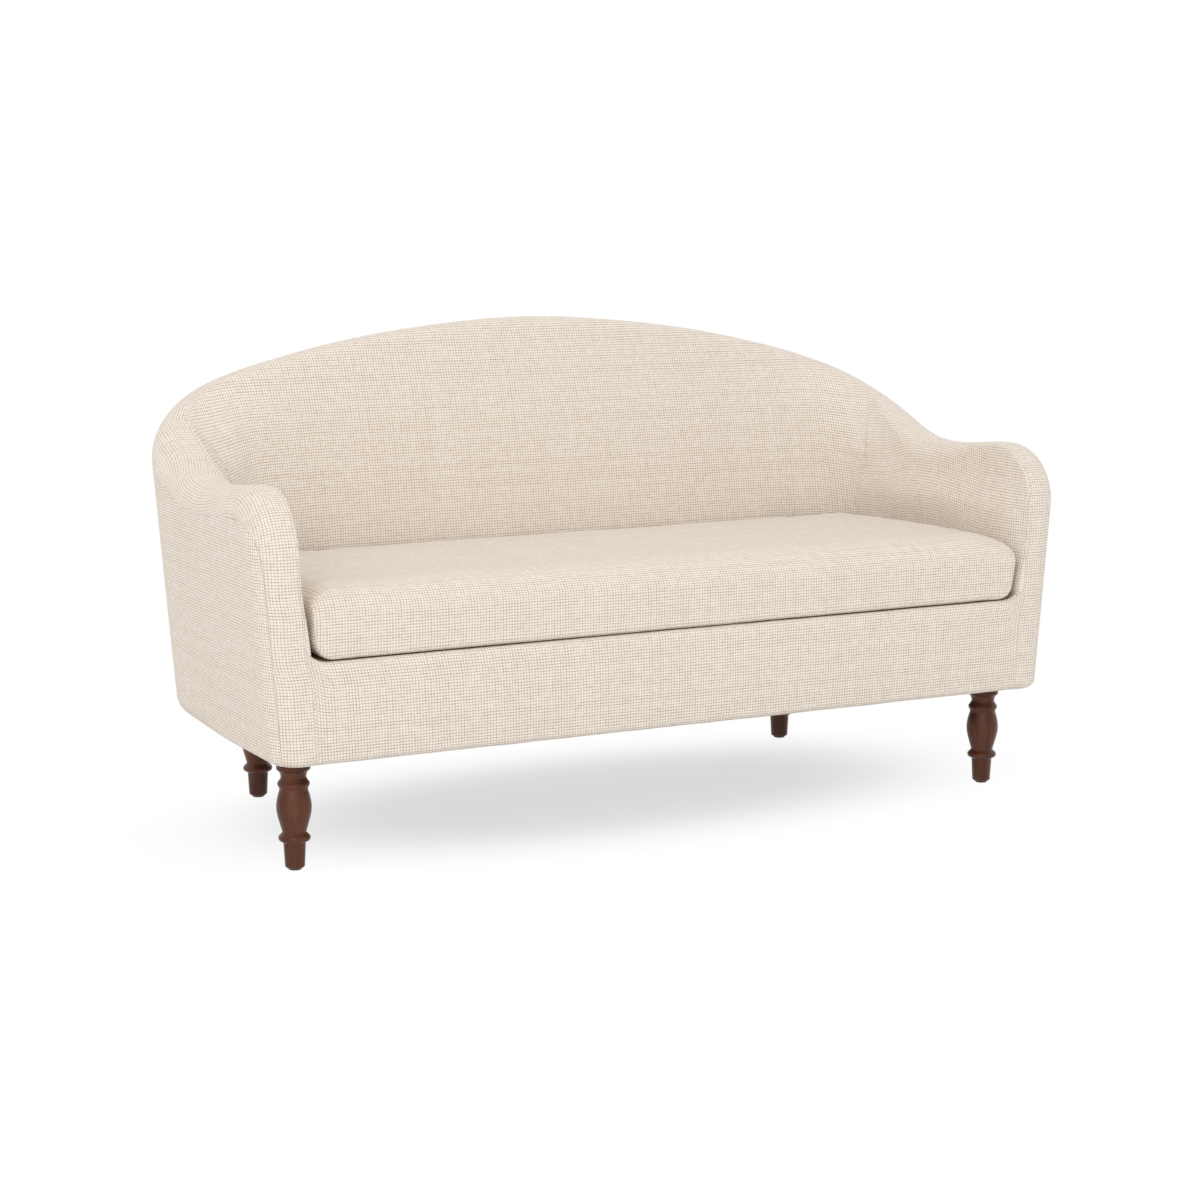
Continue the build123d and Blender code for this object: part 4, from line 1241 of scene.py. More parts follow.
    def build_back(self) -> Piece:
        """Model the band across the back, from crease to crease.

        Returns:
            The piece.
        """
        first = self.place_of(self.shell.crease_run)
        half = self.place_of(self.shell.half_run) - first
        no_end = first + half + 1.0
        panel = ClothPanel(
            "back_band_cover",
            spread(-half, half, self.pitch),
            self.shares(),
            lambda place, share: mirrored(self.point(first + half - abs(place), share), place),
            lambda place, share: (place, self.along(first + half - abs(place), share) + self.back_cloth_start),
            lambda place, share: self.relief(first + half - abs(place), share, first, no_end, False),
            (0.0, 0.0, 1.0),
        )
        return settle(panel.build(), Body.FRAME, "upholstery", "back_band")

    def build(self) -> list[Piece]:
        """Model the three pieces of the band and dress them.

        Returns:
            The pieces.
        """
        pieces = [self.build_arm(Side.LEFT), self.build_arm(Side.RIGHT), self.build_back()]
        for piece in pieces:
            COVER.put_on(piece)
        return pieces


@dataclass
class OutsideCovers:
    """Outside arms, which run round the corners, and the outside back between them."""

    shell: Shell
    pitch: float = 0.012
    seam: float = 0.0006
    join_seam: float = 0.0015
    back_round: float = 0.021
    round_ease: Ease = Ease(0.2, 0.3)
    arm_wave: Ripple = Ripple(0.0006, 0.11, 4.1)
    back_wave: Ripple = Ripple(0.0007, 0.14, 7.7)

    def levels(self) -> list[float]:
        """Places up a wall: below 0 they lie on the turn under the body, and from 0 to 1 up to the top seam."""
        return TURN_LEVELS + wall_levels(self.pitch)

    def under(self, run: float) -> float:
        """Radius of the turn under the body, which grows towards the back."""
        return self.shell.underside_radius + self.back_round * self.round_ease.at(run)

    def height(self, run: float, level: float) -> float:
        """Height of a level.

        Args:
            run: Distance along the underside line.
            level: Place up the wall.

        Returns:
            The height.
        """
        low = self.shell.leg_height + self.under(run)
        if level < 0:
            return low - self.under(run) * math.sin(min(-level, 1.0) * math.pi / 2)
        return low + level * (self.shell.top(run, self.shell.roll_radius) - low)

    def point(self, run: float, level: float) -> np.ndarray:
        """Point of an outside wall on the right half.

        Args:
            run: Distance along the underside line.
            level: Place up the wall.

        Returns:
            The point.
        """
        shell = self.shell
        z = self.height(run, level)
        if level >= 0:
            return shell.wall_point(run, shell.outer(run, z), z)
        low = shell.leg_height + self.under(run)
        inward = self.under(run) * (1 - math.cos(min(-level, 1.0) * math.pi / 2))
        inward += shell.turned_under * max(-level - 1, 0.0)
        return shell.wall_point(run, shell.outer(run, low) - inward, z)

    def cloth_height(self, run: float, level: float) -> float:
        """Distance up the cloth, round the turn under the body.

        Args:
            run: Distance along the underside line.
            level: Place up the wall.

        Returns:
            The distance.
        """
        if level >= 0:
            return self.height(run, level)
        turn = self.under(run) * max(level, -1.0) * math.pi / 2
        turn += self.shell.turned_under * min(level + 1, 0.0)
        return self.shell.leg_height + self.under(run) + turn

    def front_distance(self, run: float, z: float) -> float:
        """Distance of a point from the seam beside the arm's facing and top band.

        Args:
            run: Distance along the underside line.
            z: Height.

        Returns:
            The distance.
        """
        shell = self.shell
        if run < shell.nose_radius and z > shell.nose_height:
            radius = shell.nose_radius - shell.roll_radius
            return radius - math.hypot(shell.nose_radius - run, z - shell.nose_height)
        return min(run - shell.roll_radius, shell.top(run, shell.roll_radius) - z)

    def build_arm(self, side: Side) -> Piece:
        """Model one outside arm.

        Args:
            side: Which arm.

        Returns:
            The piece.
        """
        last = self.shell.corner_end
        wave = replace(self.arm_wave, seed=self.arm_wave.seed + side.value)

        def relief(run: float, level: float) -> float:
            """Height of the outside arm's cloth over its surface."""
            z = self.height(run, level)
            low = sewn(self.front_distance(run, z), self.seam) + sewn(last - run, self.join_seam)
            return wave.at(run, z) - low

        panel = ClothPanel(
            f"outside_arm_cover_{side.word}",
            spread(self.shell.roll_radius, last, self.pitch),
            self.levels(),
            lambda run, level: self.point(run, level) * side.mirror,
            lambda run, level: (run, self.cloth_height(run, level)),
            relief,
            (side.value, 0.0, 0.0),
        )
        return settle(panel.build(), Body.FRAME, "upholstery", f"outside_arm_{side.word}")

    def build_back(self) -> Piece:
        """Model the outside back.

        Returns:
            The piece.
        """
        shell = self.shell
        half = shell.half_run - shell.corner_end

        def relief(place: float, level: float) -> float:
            """Height of the outside back's cloth over its surface."""
            run = shell.half_run - abs(place)
            z = self.height(run, level)
            low = sewn(shell.top(run, shell.roll_radius) - z, self.seam) + sewn(half - abs(place), self.join_seam)
            return self.back_wave.at(place, z) - low

        panel = ClothPanel(
            "outside_back_cover",
            spread(-half, half, self.pitch),
            self.levels(),
            lambda place, level: mirrored(self.point(shell.half_run - abs(place), level), place),
            lambda place, level: (place, self.cloth_height(shell.half_run - abs(place), level)),
            relief,
            (0.0, 1.0, 0.0),
        )
        return settle(panel.build(), Body.FRAME, "upholstery", "outside_back")

    def build(self) -> list[Piece]:
        """Model the three outside covers and dress them.

        Returns:
            The pieces.
        """
        pieces = [self.build_arm(Side.LEFT), self.build_arm(Side.RIGHT), self.build_back()]
        for piece in pieces:
            COVER.put_on(piece)
        return pieces


@dataclass
class InsideCovers:
    """Padded inside arms and inside back, which meet in a crease at each side."""

    shell: Shell
    soft: SoftForm
    pitch: float = 0.010
    seam: float = 0.0010
    sewn_in: float = 0.006
    sewn_drop: float = 0.7
    sewn_length: float = 0.0073
    crease: float = 0.0003
    crease_width: float = 0.016
    crease_top: float = 0.1
    back_fill: float = 0.009
    fill_across: int = 4
    fill_up: float = 1.5
    hollow: float = 0.10
    arm_wave: Ripple = Ripple(0.0007, 0.07, 9.4)
    back_wave: Ripple = Ripple(0.0009, 0.12, 5.9)
    wave_edge: float = 0.02
    cloth_rise: float = 1.02
    cloth_steps: int = 13

    def levels(self) -> list[float]:
        """Places up an inside cover, from 0 below the deck to 1 at the top seam, then the seam's allowance."""
        return wall_levels(self.pitch) + [1.5, 2.0]

    def arm_height(self, run: float, level: float) -> float:
        """Height of a level on an inside arm."""
        return self.shell.pad_low + min(level, 1.0) * (self.shell.top(run) - self.shell.pad_low)

    def allowance(self, run: float, level: float) -> np.ndarray:
        """Shift of the cloth that is sewn in under the band."""
        angle = self.shell.plan(run)[2]
        shift = (self.sewn_in * math.cos(angle), self.sewn_in * math.sin(angle), -self.sewn_drop * self.sewn_in)
        return max(level - 1, 0.0) * np.array(shift)

    def arm_point(self, run: float, level: float) -> np.ndarray:
        """Point of the right inside arm, swollen and rolled over to its seam.

        Args:
            run: Distance from the arm front.
            level: Place up the cover.

        Returns:
            The point.
        """
        shell, soft = self.shell, self.soft
        z = self.arm_height(run, level)
        face = min(z, shell.top(max(run, shell.nose_radius)) - shell.roll_radius)
        x, _, angle = shell.plan(run)
        inner = -(x - shell.arm_inner(run, face)) / math.cos(angle)
        outward = sewn(self.arm_edge(run, z), soft.roll(run, z)) - soft.arm_swell(run, z)
        point = shell.wall_point(run, inner + outward, z)
        return point + soft.corner(soft.arm_weight(run), shell.top(run) - z) + self.allowance(run, level)

    def arm_edge(self, run: float, z: float) -> float:
        """Distance of a point of the inside arm from its seam with the band.

        Args:
            run: Distance from the arm front.
            z: Height.

        Returns:
            The distance.
        """
        shell = self.shell
        if run < shell.nose_radius and z > shell.nose_height:
            return shell.nose_radius - math.hypot(shell.nose_radius - run, z - shell.nose_height)
        return min(run, shell.top(run) - z)

    def dent(self, distance: float, level: float) -> float:
        """Depth of the soft hollow beside a crease, which ends below the top seam."""
        return self.crease * math.exp(-((distance / self.crease_width) ** 2)) * smooth((1 - level) / self.crease_top)

    def arm_relief(self, run: float, level: float) -> float:
        """Height of the inside arm's cloth over its surface."""
        z = self.arm_height(run, level)
        wave = self.arm_wave.at(run, z) * smooth(self.arm_edge(run, z) / self.wave_edge)
        return wave - self.dent(self.shell.crease_run - run, level)

    def arm_cloth(self, run: float, level: float) -> tuple[float, float]:
        """Place of a point on the flat cloth of the inside arm.

        Args:
            run: Distance from the arm front.
            level: Place up the cover.

        Returns:
            The place in metres.
        """
        z = self.arm_height(run, level)
        radius = self.soft.roll(run, z)
        up = z + rolled(0.0, radius) - rolled(self.shell.top(run) - z, radius)
        return run - rolled(run, radius), up + self.sewn_length * max(level - 1, 0.0)

    def build_arm(self, side: Side) -> Piece:
        """Model one inside arm.

        Args:
            side: Which arm.

        Returns:
            The piece.
        """
        panel = ClothPanel(
            f"inside_arm_cover_{side.word}",
            spread(0.0, self.shell.crease_run + self.soft.overlap, self.pitch, fine_last=False),
            self.levels(),
            lambda run, level: self.arm_point(run, level) * side.mirror,
            self.arm_cloth,
            self.arm_relief,
            (-side.value, 0.0, 0.0),
        )
        return settle(panel.build(), Body.FRAME, "upholstery", f"inside_arm_{side.word}")

    def back_point(self, place: float, level: float) -> np.ndarray:
        """Point of the inside back, rolled over to its seam.

        Args:
            place: Signed distance from the middle.
            level: Place up the cover.

        Returns:
            The point.
        """
        shell, soft = self.shell, self.soft
        run = shell.half_run - abs(place)
        sewn_in = self.allowance(run, level)
        level = min(level, 1.0)
        high = shell.inner_edge(run)
        crease = shell.inner_edge(shell.crease_run)
        low_x = high[0] * shell.arm_inner(shell.crease_run, shell.pad_low) / crease[0]
        z = shell.pad_low + level * (high[2] - shell.pad_low)
        x = low_x + (high[0] - low_x) * level
        share = max((z - shell.recline_start) / (high[2] - shell.recline_start), 0.0)
        lean = share - self.hollow * math.sin(math.pi * share)
        y = shell.seat_back + (high[1] - shell.seat_back) * lean
        angle = shell.plan(run)[2]
        over = sewn(high[2] - z, soft.back_edge(run)) * np.array((math.cos(angle), math.sin(angle), 0.0))
        point = np.array((x, y, z)) + over + sewn_in + soft.corner(soft.back_weight(place), high[2] - z)
        return mirrored(point, place)

    def back_rise(self, place: float) -> float:
        """Height of the inside back's cloth at a distance from the middle."""
        return self.shell.crest(self.shell.half_run - abs(place)) - self.shell.pad_low

    def back_cloth(self, place: float, level: float) -> tuple[float, float]:
        """Place of a point on the flat cloth of the inside back, measured along its surface.

        Args:
            place: Signed distance from the middle.
            level: Place up the cover.

        Returns:
            The place in metres.
        """
        held = min(level, 1.0)
        steps = np.linspace(0.0, abs(place), self.cloth_steps)
        line = np.array([self.back_point(step, held)[:2] for step in steps])
        across = float(np.sum(np.linalg.norm(np.diff(line, axis=0), axis=1)))
        radius = self.soft.back_edge(self.shell.half_run - abs(place))
        rise = self.back_rise(place)
        up = held * rise * self.cloth_rise + rolled(0.0, radius) - rolled((1 - held) * rise, radius)
        return math.copysign(across, place), up + self.sewn_length * max(level - 1, 0.0)

    def back_relief(self, place: float, level: float) -> float:
        """Height of the inside back's cloth over its surface.

        Args:
            place: Signed distance from the middle.
            level: Place up the cover.

        Returns:
            The height in metres.
        """
        half = self.shell.crease_half
        level = min(level, 1.0)
        rise = self.back_rise(place)
        inset = (1 - level) * rise
        low = self.dent(half - abs(place), level)
        low += sewn(inset, self.seam) * (1 - self.soft.back_weight(place))
        across = max(1 - (place / half) ** self.fill_across, 0.0)
        fill = self.back_fill * across * math.sin(math.pi * level**self.fill_up)
        return fill + self.back_wave.at(place, level * rise) * smooth(inset / self.wave_edge) - low

    def build_back(self) -> Piece:
        """Model the inside back.

        Returns:
            The piece.
        """
        half = self.shell.crease_half + self.soft.overlap
        panel = ClothPanel(
            "inside_back_cover",
            spread(-half, half, self.pitch, fine_first=False, fine_last=False),
            self.levels(),
            self.back_point,
            self.back_cloth,
            self.back_relief,
            (0.0, -1.0, 0.0),
        )
        return settle(panel.build(), Body.FRAME, "upholstery", "inside_back")

    def build(self) -> list[Piece]:
        """Model the three inside covers and dress them.

        Returns:
            The pieces.
        """
        pieces = [self.build_arm(Side.LEFT), self.build_arm(Side.RIGHT), self.build_back()]
        for piece in pieces:
            COVER.put_on(piece)
        return pieces


@dataclass
class FrontBorder:
    """Padded border over the front rail, between the facings, and the deck behind it."""

    shell: Shell
    soft: SoftForm
    pitch: float = 0.012
    seam: float = 0.0020
    tuck: float = 0.002
    fillet: float = 0.036
    top_round: float = 0.010
    fill: float = 0.0025
    face_rows: int = 18
    round_rows: int = 6
    wave: Ripple = Ripple(0.0008, 0.09, 3.3)
    deck_half: float = 0.67
    deck_pitch: float = 0.02
    deck_drop: float = 0.002
    deck_gap: float = 0.001
    deck_crown: float = 0.0016
    deck_seam: float = 0.012
    deck_thickness: float = 0.004
    deck_wave: Ripple = Ripple(0.0005, 0.08, 1.7)

    def side(self, z: float) -> float:
        """Half the border's width at a height."""
        return self.shell.arm_inner(0.0, z) - self.soft.facing_reach(z)

    def profile(self, level: float) -> tuple[float, float, float]:
        """Border from its turn under the body, below 0, over its face to 1 and on over the front of the deck.

        Args:
            level: Place up the border.

        Returns:
            Setback, height and place on the cloth.
        """
        shell = self.shell
        under, over = shell.underside_radius, self.top_round
        low, high = shell.leg_height + under, shell.deck_height - over
        if level < 0:
            angle = min(-level, 1.0) * math.pi / 2
            flat = shell.turned_under * max(-level - 1, 0.0)
            return under * (1 - math.cos(angle)) + flat, low - under * math.sin(angle), low - under * angle - flat
        if level <= 1:
            z = low + level * (high - low)
            return 0.0, z, z
        angle = (level - 1) * math.pi / 2
        return over * (1 - math.cos(angle)), high + over * math.sin(angle), high + over * angle

    def border_point(self, share: float, level: float) -> np.ndarray:
        """Point of the border, drawn up in a round to the facings at its ends.

        Args:
            share: Share of the way to an end, with its sign.
            level: Place up the border.

        Returns:
            The point.
        """
        back, z, _ = self.profile(level)
        away = (1 - abs(share)) * (self.side(z) + self.tuck) - self.tuck
        rise = sewn(away, self.fillet) * min(max(level, 0.0), 1.0) ** 2
        return np.array((share * (self.side(z + rise) + self.tuck), self.shell.front + back, z + rise))

    def border_relief(self, share: float, level: float) -> float:
        """Height of the border's cloth over its surface."""
        z = self.profile(level)[1]
        fill = self.fill * math.sin(math.pi * min(max(level, 0.0), 1.0))
        return fill + self.wave.at(share, z) - sewn((1 - abs(share)) * self.side(z), self.seam)

    def build_border(self) -> Piece:
        """Model the border, turned under the body and over the front of the deck.

        Returns:
            The piece.
        """
        levels = TURN_LEVELS + [i / self.face_rows for i in range(self.face_rows + 1)]
        levels += [1.0 + i / self.round_rows for i in range(1, self.round_rows + 1)]
        half = self.side(self.profile(0.0)[1])
        panel = ClothPanel(
            "front_border_cover",
            [d / half for d in spread(-half, half, self.pitch)],
            levels,
            self.border_point,
            lambda share, level: (share * half, self.profile(level)[2]),
            self.border_relief,
            (0.0, -1.0, 0.0),
        )
        piece = settle(panel.build(), Body.FRAME, "upholstery", "front_border")
        COVER.put_on(piece)
        return piece

    def build_deck(self) -> Piece:
        """Model the lined deck that the cushion lies on.

        Returns:
            The piece.
        """
        shell, half = self.shell, self.deck_half
        first, last = shell.front + self.top_round, shell.seat_back - self.deck_gap

        def at(share: float, y: float) -> np.ndarray:
            """Point of the deck."""
            reach = shell.arm_inner(y - shell.front, shell.deck_height) - self.deck_gap
            return np.array((share * reach, y, shell.deck_height - self.deck_drop))

        def relief(share: float, y: float) -> float:
            """Height of the deck's cloth, crowned and drawn down at its edges."""
            edge = min((1 - abs(share)) * half, last - y)
            return self.deck_crown * (1 - share**2) - sewn(edge, self.deck_seam) + self.deck_wave.at(share, y)

        panel = ClothPanel(
            "deck_cover",
            [d / half for d in spread(-half, half, self.deck_pitch)],
            spread(first, last, self.deck_pitch),
            at,
            lambda share, y: (share * half, y),
            relief,
            (0.0, 0.0, 1.0),
            self.deck_thickness,
        )
        piece = settle(panel.build(), Body.FRAME, "lining", "deck_cloth", "deck_pad", "edge_roll")
        PLAIN_FINISHES["lining"].put_on(piece)
        return piece

    def build(self) -> list[Piece]:
        """Model the border and the deck."""
        return [self.build_border(), self.build_deck()]


@dataclass
class DustCover:
    """Thin cloth stapled under the body, with a slight sag between its edges."""

    shell: Shell
    inset: float = 0.027
    pitch: float = 0.02
    depth: float = 0.6
    sag: float = 0.0025
    sag_ease: float = 0.12
    pucker: float = 0.0004
    pucker_ease: float = 0.02
    staple_pitch: float = 0.05
    thickness: float = 0.0008
    box: Box = field(default_factory=lambda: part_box("dust_cover"))

    def back_edge(self, x: float) -> float:
        """Back end of the cloth at a distance from the middle.

        Args:
            x: The distance.

        Returns:
            The place front to back.
        """
        shell = self.shell
        if abs(x) > shell.corner_x:
            rise = (shell.corner_radius - self.inset) ** 2 - (abs(x) - shell.corner_x) ** 2
            return shell.corner_y + math.sqrt(max(rise, 0.0))
        reach = shell.back_radius - self.inset
        return shell.back_middle - shell.back_radius + math.sqrt(reach**2 - x * x)

    def build(self) -> list[Piece]:
        """Model the cloth over its CAD sheet.

        Returns:
            The piece in a list.
        """
        half = float(self.box[1][0])
        front, low = float(self.box[0][1]), float(self.box[0][2])

        def at(x: float, share: float) -> np.ndarray:
            """Point of the cloth."""
            return np.array((x, front + share * (self.back_edge(x) - front), low))

        def relief(x: float, share: float) -> float:
            """Sag of the cloth between its edges, drawn up at the staples."""
            depth = self.back_edge(x) - front
            edge = min(half - abs(x), share * depth, (1 - share) * depth)
            staples = math.cos(2 * math.pi * (x + share * depth) / self.staple_pitch)
            pucker = self.pucker * (1 - smooth(edge / self.pucker_ease)) * staples
            return self.sag * smooth(edge / self.sag_ease) + pucker

        plain = {"fine_first": False, "fine_last": False}
        panel = ClothPanel(
            "dust_cover_cloth",
            spread(-half, half, self.pitch, **plain),
            [d / self.depth for d in spread(0.0, self.depth, self.pitch, **plain)],
            at,
            lambda x, share: (x, share * (self.back_edge(x) - front)),
            relief,
            (0.0, 0.0, -1.0),
            self.thickness,
        )
        piece = settle(panel.build(), Body.FRAME, "dust_cloth", "dust_cover")
        PLAIN_FINISHES["dust_cloth"].put_on(piece)
        return [piece]


# Seat cushion


@dataclass
class ZipTape:
    """Zip on the back of the cushion: two woven tapes with a row of coil teeth between them."""

    box: Box = field(default_factory=lambda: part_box("zip_tape"))
    tooth_pitch: float = 0.003
    tooth_columns: int = 4
    tooth_share: float = 0.6
    rows: int = 20
    coil: float = 0.0028
    rise: float = 0.0009
    seam: float = 0.0012
    seam_share: float = 0.4
    thickness: float = 0.001

    def build(self) -> list[Piece]:
        """Model the tape over its CAD strip.

        Returns:
            The piece in a list.
        """
        low, high = (np.array(corner) for corner in self.box)
        middle = float((low[2] + high[2]) / 2)
        count = int((high[0] - low[0]) / (self.tooth_pitch / self.tooth_columns))
        columns = [float(low[0] + (high[0] - low[0]) * i / count) for i in range(count + 1)]
        rows = [float(low[2] + (high[2] - low[2]) * i / self.rows) for i in range(self.rows + 1)]

        def relief(x: float, z: float) -> float:
            """Coil teeth standing out along the middle, and the tapes' edges sewn down."""
            edge = min(z - float(low[2]), float(high[2]) - z)
            tooth = 0.5 + 0.5 * math.cos(2 * math.pi * x / self.tooth_pitch)
            coil = max(1 - ((z - middle) / self.coil) ** 2, 0.0)
            teeth = self.rise * coil * (1 - self.tooth_share + self.tooth_share * tooth)
            return teeth - self.seam_share * sewn(edge, self.seam)

        panel = ClothPanel(
            "zip_tape_cloth",
            columns,
            rows,
            lambda x, z: np.array((x, float(high[1]), z)),
            lambda x, z: (x, z),
            relief,
            (0.0, 1.0, 0.0),
            self.thickness,
        )
        piece = settle(panel.build(), Body.CUSHION, "lining", "zip_tape")
        PLAIN_FINISHES["lining"].put_on(piece)
        return [piece]


@dataclass
class SeatCushion:
    """Loose bench cushion, filled by a cloth simulation, with its zip at the back."""

    shell: Shell
    soft: SoftForm
    edge_radius: float = 0.032
    corner_share: float = 0.55
    bottom_share: float = 0.30
    end_share: float = 1.0
    back_share: float = 0.38
    edge_steps: int = 8
    same_place: float = 0.01
    top: float = 0.4625
    top_drop: float = 0.0085
    front_drop: Ease = Ease(-0.25, -0.09)
    back_drop: Ease = Ease(0.02, 0.14)
    back_drop_end: Ease = Ease(0.40, 0.25)
    corner_drop: float = 0.004
    corner_drop_across: Ease = Ease(0.60, 0.08)
    corner_drop_along: Ease = Ease(-0.15, -0.12)
    top_wave: Ripple = Ripple(0.0012, 0.13, 6.6)
    waist: float = 0.003
    front_depth: float = 0.06
    front_swell: float = 0.0022
    front_wave: Ripple = Ripple(0.0010, 0.10, 8.2)
    voxel: float = 0.0085
    pressure: float = 4.0
    mass: float = 0.3
    stretch: float = 15.0
    bending: float = 0.6
    quality: int = 4
    frames: int = 20
    cap: float = 0.006
    front_room: float = 0.003
    top_room: float = 0.004
    side_gap: float = 0.0015
    back_gap: float = 0.0055
    end_facing: float = 0.75
    box: Box = field(default_factory=lambda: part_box("seat_cushion"))

    @property
    def corners(self) -> tuple[np.ndarray, np.ndarray]:
        """Low and high corner of the CAD cushion's box."""
        return np.array(self.box[0]), np.array(self.box[1])

    def edge_weight(self, first: Vector, second: Vector, middle: float) -> float:
        """Share of the full rounding that an edge of the block gets.

        Args:
            first: One end of the edge.
            second: Its other end.
            middle: Height of the block's middle.

        Returns:
            The share: full over the top edges and tight along the bottom ones.
        """
        if abs(first.z - second.z) > self.same_place:
            return self.corner_share
        if first.z > middle:
            return self.back_share if min(first.y, second.y) > 0 else 1.0
        return self.end_share if abs(first.x - second.x) < self.same_place else self.bottom_share

    def block(self) -> Piece:
        """Rounded block, meshed evenly.

        Returns:
            The block.
        """
        low, high = self.corners
        bpy.ops.object.select_all(action="DESELECT")
        bpy.ops.mesh.primitive_cube_add(size=1, location=tuple((low + high) / 2))
        piece = bpy.context.object
        piece.name = piece.data.name = "cushion_cover"
        piece.scale = tuple(high - low)
        bpy.ops.object.transform_apply(location=True, rotation=True, scale=True)
        ends = [[piece.data.vertices[i].co for i in edge.vertices] for edge in piece.data.edges]
        middle = float((low + high)[2] / 2)
        weights = [self.edge_weight(first, second, middle) for first, second in ends]
        piece.data.attributes.new("bevel_weight_edge", "FLOAT", "EDGE").data.foreach_set("value", weights)
        apply_modifier(piece, "BEVEL", width=self.edge_radius, segments=self.edge_steps, limit_method="WEIGHT")
        piece.data.remesh_voxel_size = self.voxel
        only(piece)
        bpy.ops.object.voxel_remesh()
        return piece

    def height(self, x: float, y: float) -> float:
        """Height of the filled top.

        Args:
            x: Distance from the middle.
            y: Place front to back.

        Returns:
            The height.
        """
        front = self.top_drop * self.front_drop.at(y)
        back = self.top_drop * self.back_drop.at(y) * (1 - self.back_drop_end.at(abs(x)))
        ends = self.corner_drop * self.corner_drop_across.at(abs(x)) * self.corner_drop_along.at(y)
        return self.top - front - back - ends + self.top_wave.at(x, y)

    def limits(self, x: float, y: float, z: float) -> tuple[float, float]:
        """Half the width and the back of the room between the arms and the back."""
        return self.soft.arm_face(y, z) - self.side_gap, self.soft.back_face(x) - self.back_gap

    def shape(self, piece: Piece) -> None:
        """Fit the block between the arms and the back, fill its top and let its front swell.

        Args:
            piece: The block.
        """
        low, high = self.corners
        middle, half = (low + high) / 2, (high - low) / 2
        points = mesh_points(piece.data)
        for point in points:
            x, y, z = point
            share = (z - middle[2]) / half[2]
            wide, back = self.limits(x, y, z)
            point[0] = x / half[0] * (wide - self.waist * (1 - ((y - middle[1]) / half[1]) ** 2))
            point[1] = low[1] + (y - low[1]) / (high[1] - low[1]) * (back - low[1])
            if share > 0:
                point[2] = middle[2] + share * (self.height(x, y) - middle[2])
            front = smooth((low[1] + self.front_depth - y) / self.front_depth)
            point[1] -= front * (self.front_swell * (1 - share * share) + self.front_wave.at(x, z))
        piece.data.vertices.foreach_set("co", points.ravel())
        piece.data.update()

    def swollen(self, piece: Piece) -> np.ndarray:
        """Points of the cover after it is blown up by a cloth simulation.

        Args:
            piece: The fitted block.

        Returns:
            The points as rows.
        """
        cloth = piece.modifiers.new("fill", "CLOTH")
        settings = {
            "quality": self.quality,
            "mass": self.mass,
            "tension_stiffness": self.stretch,
            "compression_stiffness": self.stretch,
            "bending_stiffness": self.bending,
            "use_pressure": True,
            "uniform_pressure_force": self.pressure,
        }
        for key, value in settings.items():
            setattr(cloth.settings, key, value)
        cloth.settings.effector_weights.gravity = 0.0
        cloth.point_cache.frame_start = 1
        cloth.point_cache.frame_end = self.frames
        scene = bpy.context.scene
        for step in range(1, self.frames + 1):
            scene.frame_set(step)
        points = mesh_points(piece.evaluated_get(bpy.context.evaluated_depsgraph_get()).to_mesh())
        piece.modifiers.remove(cloth)
        scene.frame_set(1)
        return points

    def fill(self, piece: Piece) -> None:
        """Swell the cover by pressure, no further than the cap, and keep it off the deck, arms and back.

        Args:
            piece: The fitted block.
        """
        before = mesh_points(piece.data)
        moved = self.swollen(piece) - before
        length = np.linalg.norm(moved, axis=1, keepdims=True)
        moved *= np.minimum(1.0, self.cap / np.maximum(length, LEAST_LENGTH))
        lowest = self.corners[0] - np.array((0.0, self.front_room, 0.0))
        points = np.clip(before + moved, lowest, np.array((1.0, 1.0, self.top + self.top_room)))
        for point in points:
            wide, back = self.limits(*point)
            point[0] = min(max(point[0], -wide), wide)
            point[1] = min(point[1], back)
        piece.data.vertices.foreach_set("co", points.ravel())
        piece.data.update()

    def around(self, points: np.ndarray) -> np.ndarray:
        """Length of cloth from the middle of the top to each point, over the front or back edge.

        Args:
            points: The cushion's points as rows.

        Returns:
            The lengths, negative towards the front.
        """
        low, high = self.corners
        centre, half, radius = (low + high) / 2, (high - low) / 2, self.edge_radius
        away_y, away_z = points[:, 1] - centre[1], points[:, 2] - centre[2]
        backs = np.array([self.soft.back_face(x) - self.back_gap for x in points[:, 0]])
        inner_y = np.where(away_y > 0, backs - centre[1], half[1]) - radius
        inner_z = half[2] - radius
        angle = np.arctan2(np.maximum(np.abs(away_z) - inner_z, 0.0), np.maximum(np.abs(away_y) - inner_y, 0.0))
        flat_y = np.clip(np.abs(away_y), 0, inner_y)
        flat_z = np.clip(np.abs(away_z), 0, inner_z)
        over = flat_y + radius * (math.pi / 2 - angle) + (inner_z - flat_z)
        length = np.where(np.abs(away_y) > inner_y, over, flat_y)
        top = np.where(away_y < 0, -length, length)
        bottom = np.where(away_y < 0, -1.0, 1.0) * (2 * (inner_y + radius * math.pi / 2 + inner_z)) - top
        return np.where(away_z >= 0, top, bottom)

    def lay_weave(self, piece: Piece) -> None:
        """Lay the weave over the cushion: over its top and down its front in one piece, and on its ends.

        Args:
            piece: The filled cushion.
        """
        mesh = piece.data
        points = mesh_points(mesh)
        normals = np.empty(len(mesh.polygons) * 3)
        mesh.polygons.foreach_get("normal", normals)
        corners = np.empty(len(mesh.loops), dtype=int)
        mesh.loops.foreach_get("vertex_index", corners)
        totals = np.empty(len(mesh.polygons), dtype=int)
        mesh.polygons.foreach_get("loop_total", totals)
        laid = np.column_stack((points[corners, 0], self.around(points)[corners]))
        ends = np.repeat(np.abs(normals.reshape(-1, 3)[:, 0]) > self.end_facing, totals)
        laid[ends] = points[corners][ends][:, (1, 2)]
        mesh.uv_layers.new(name="weave").data.foreach_set("uv", laid.ravel())

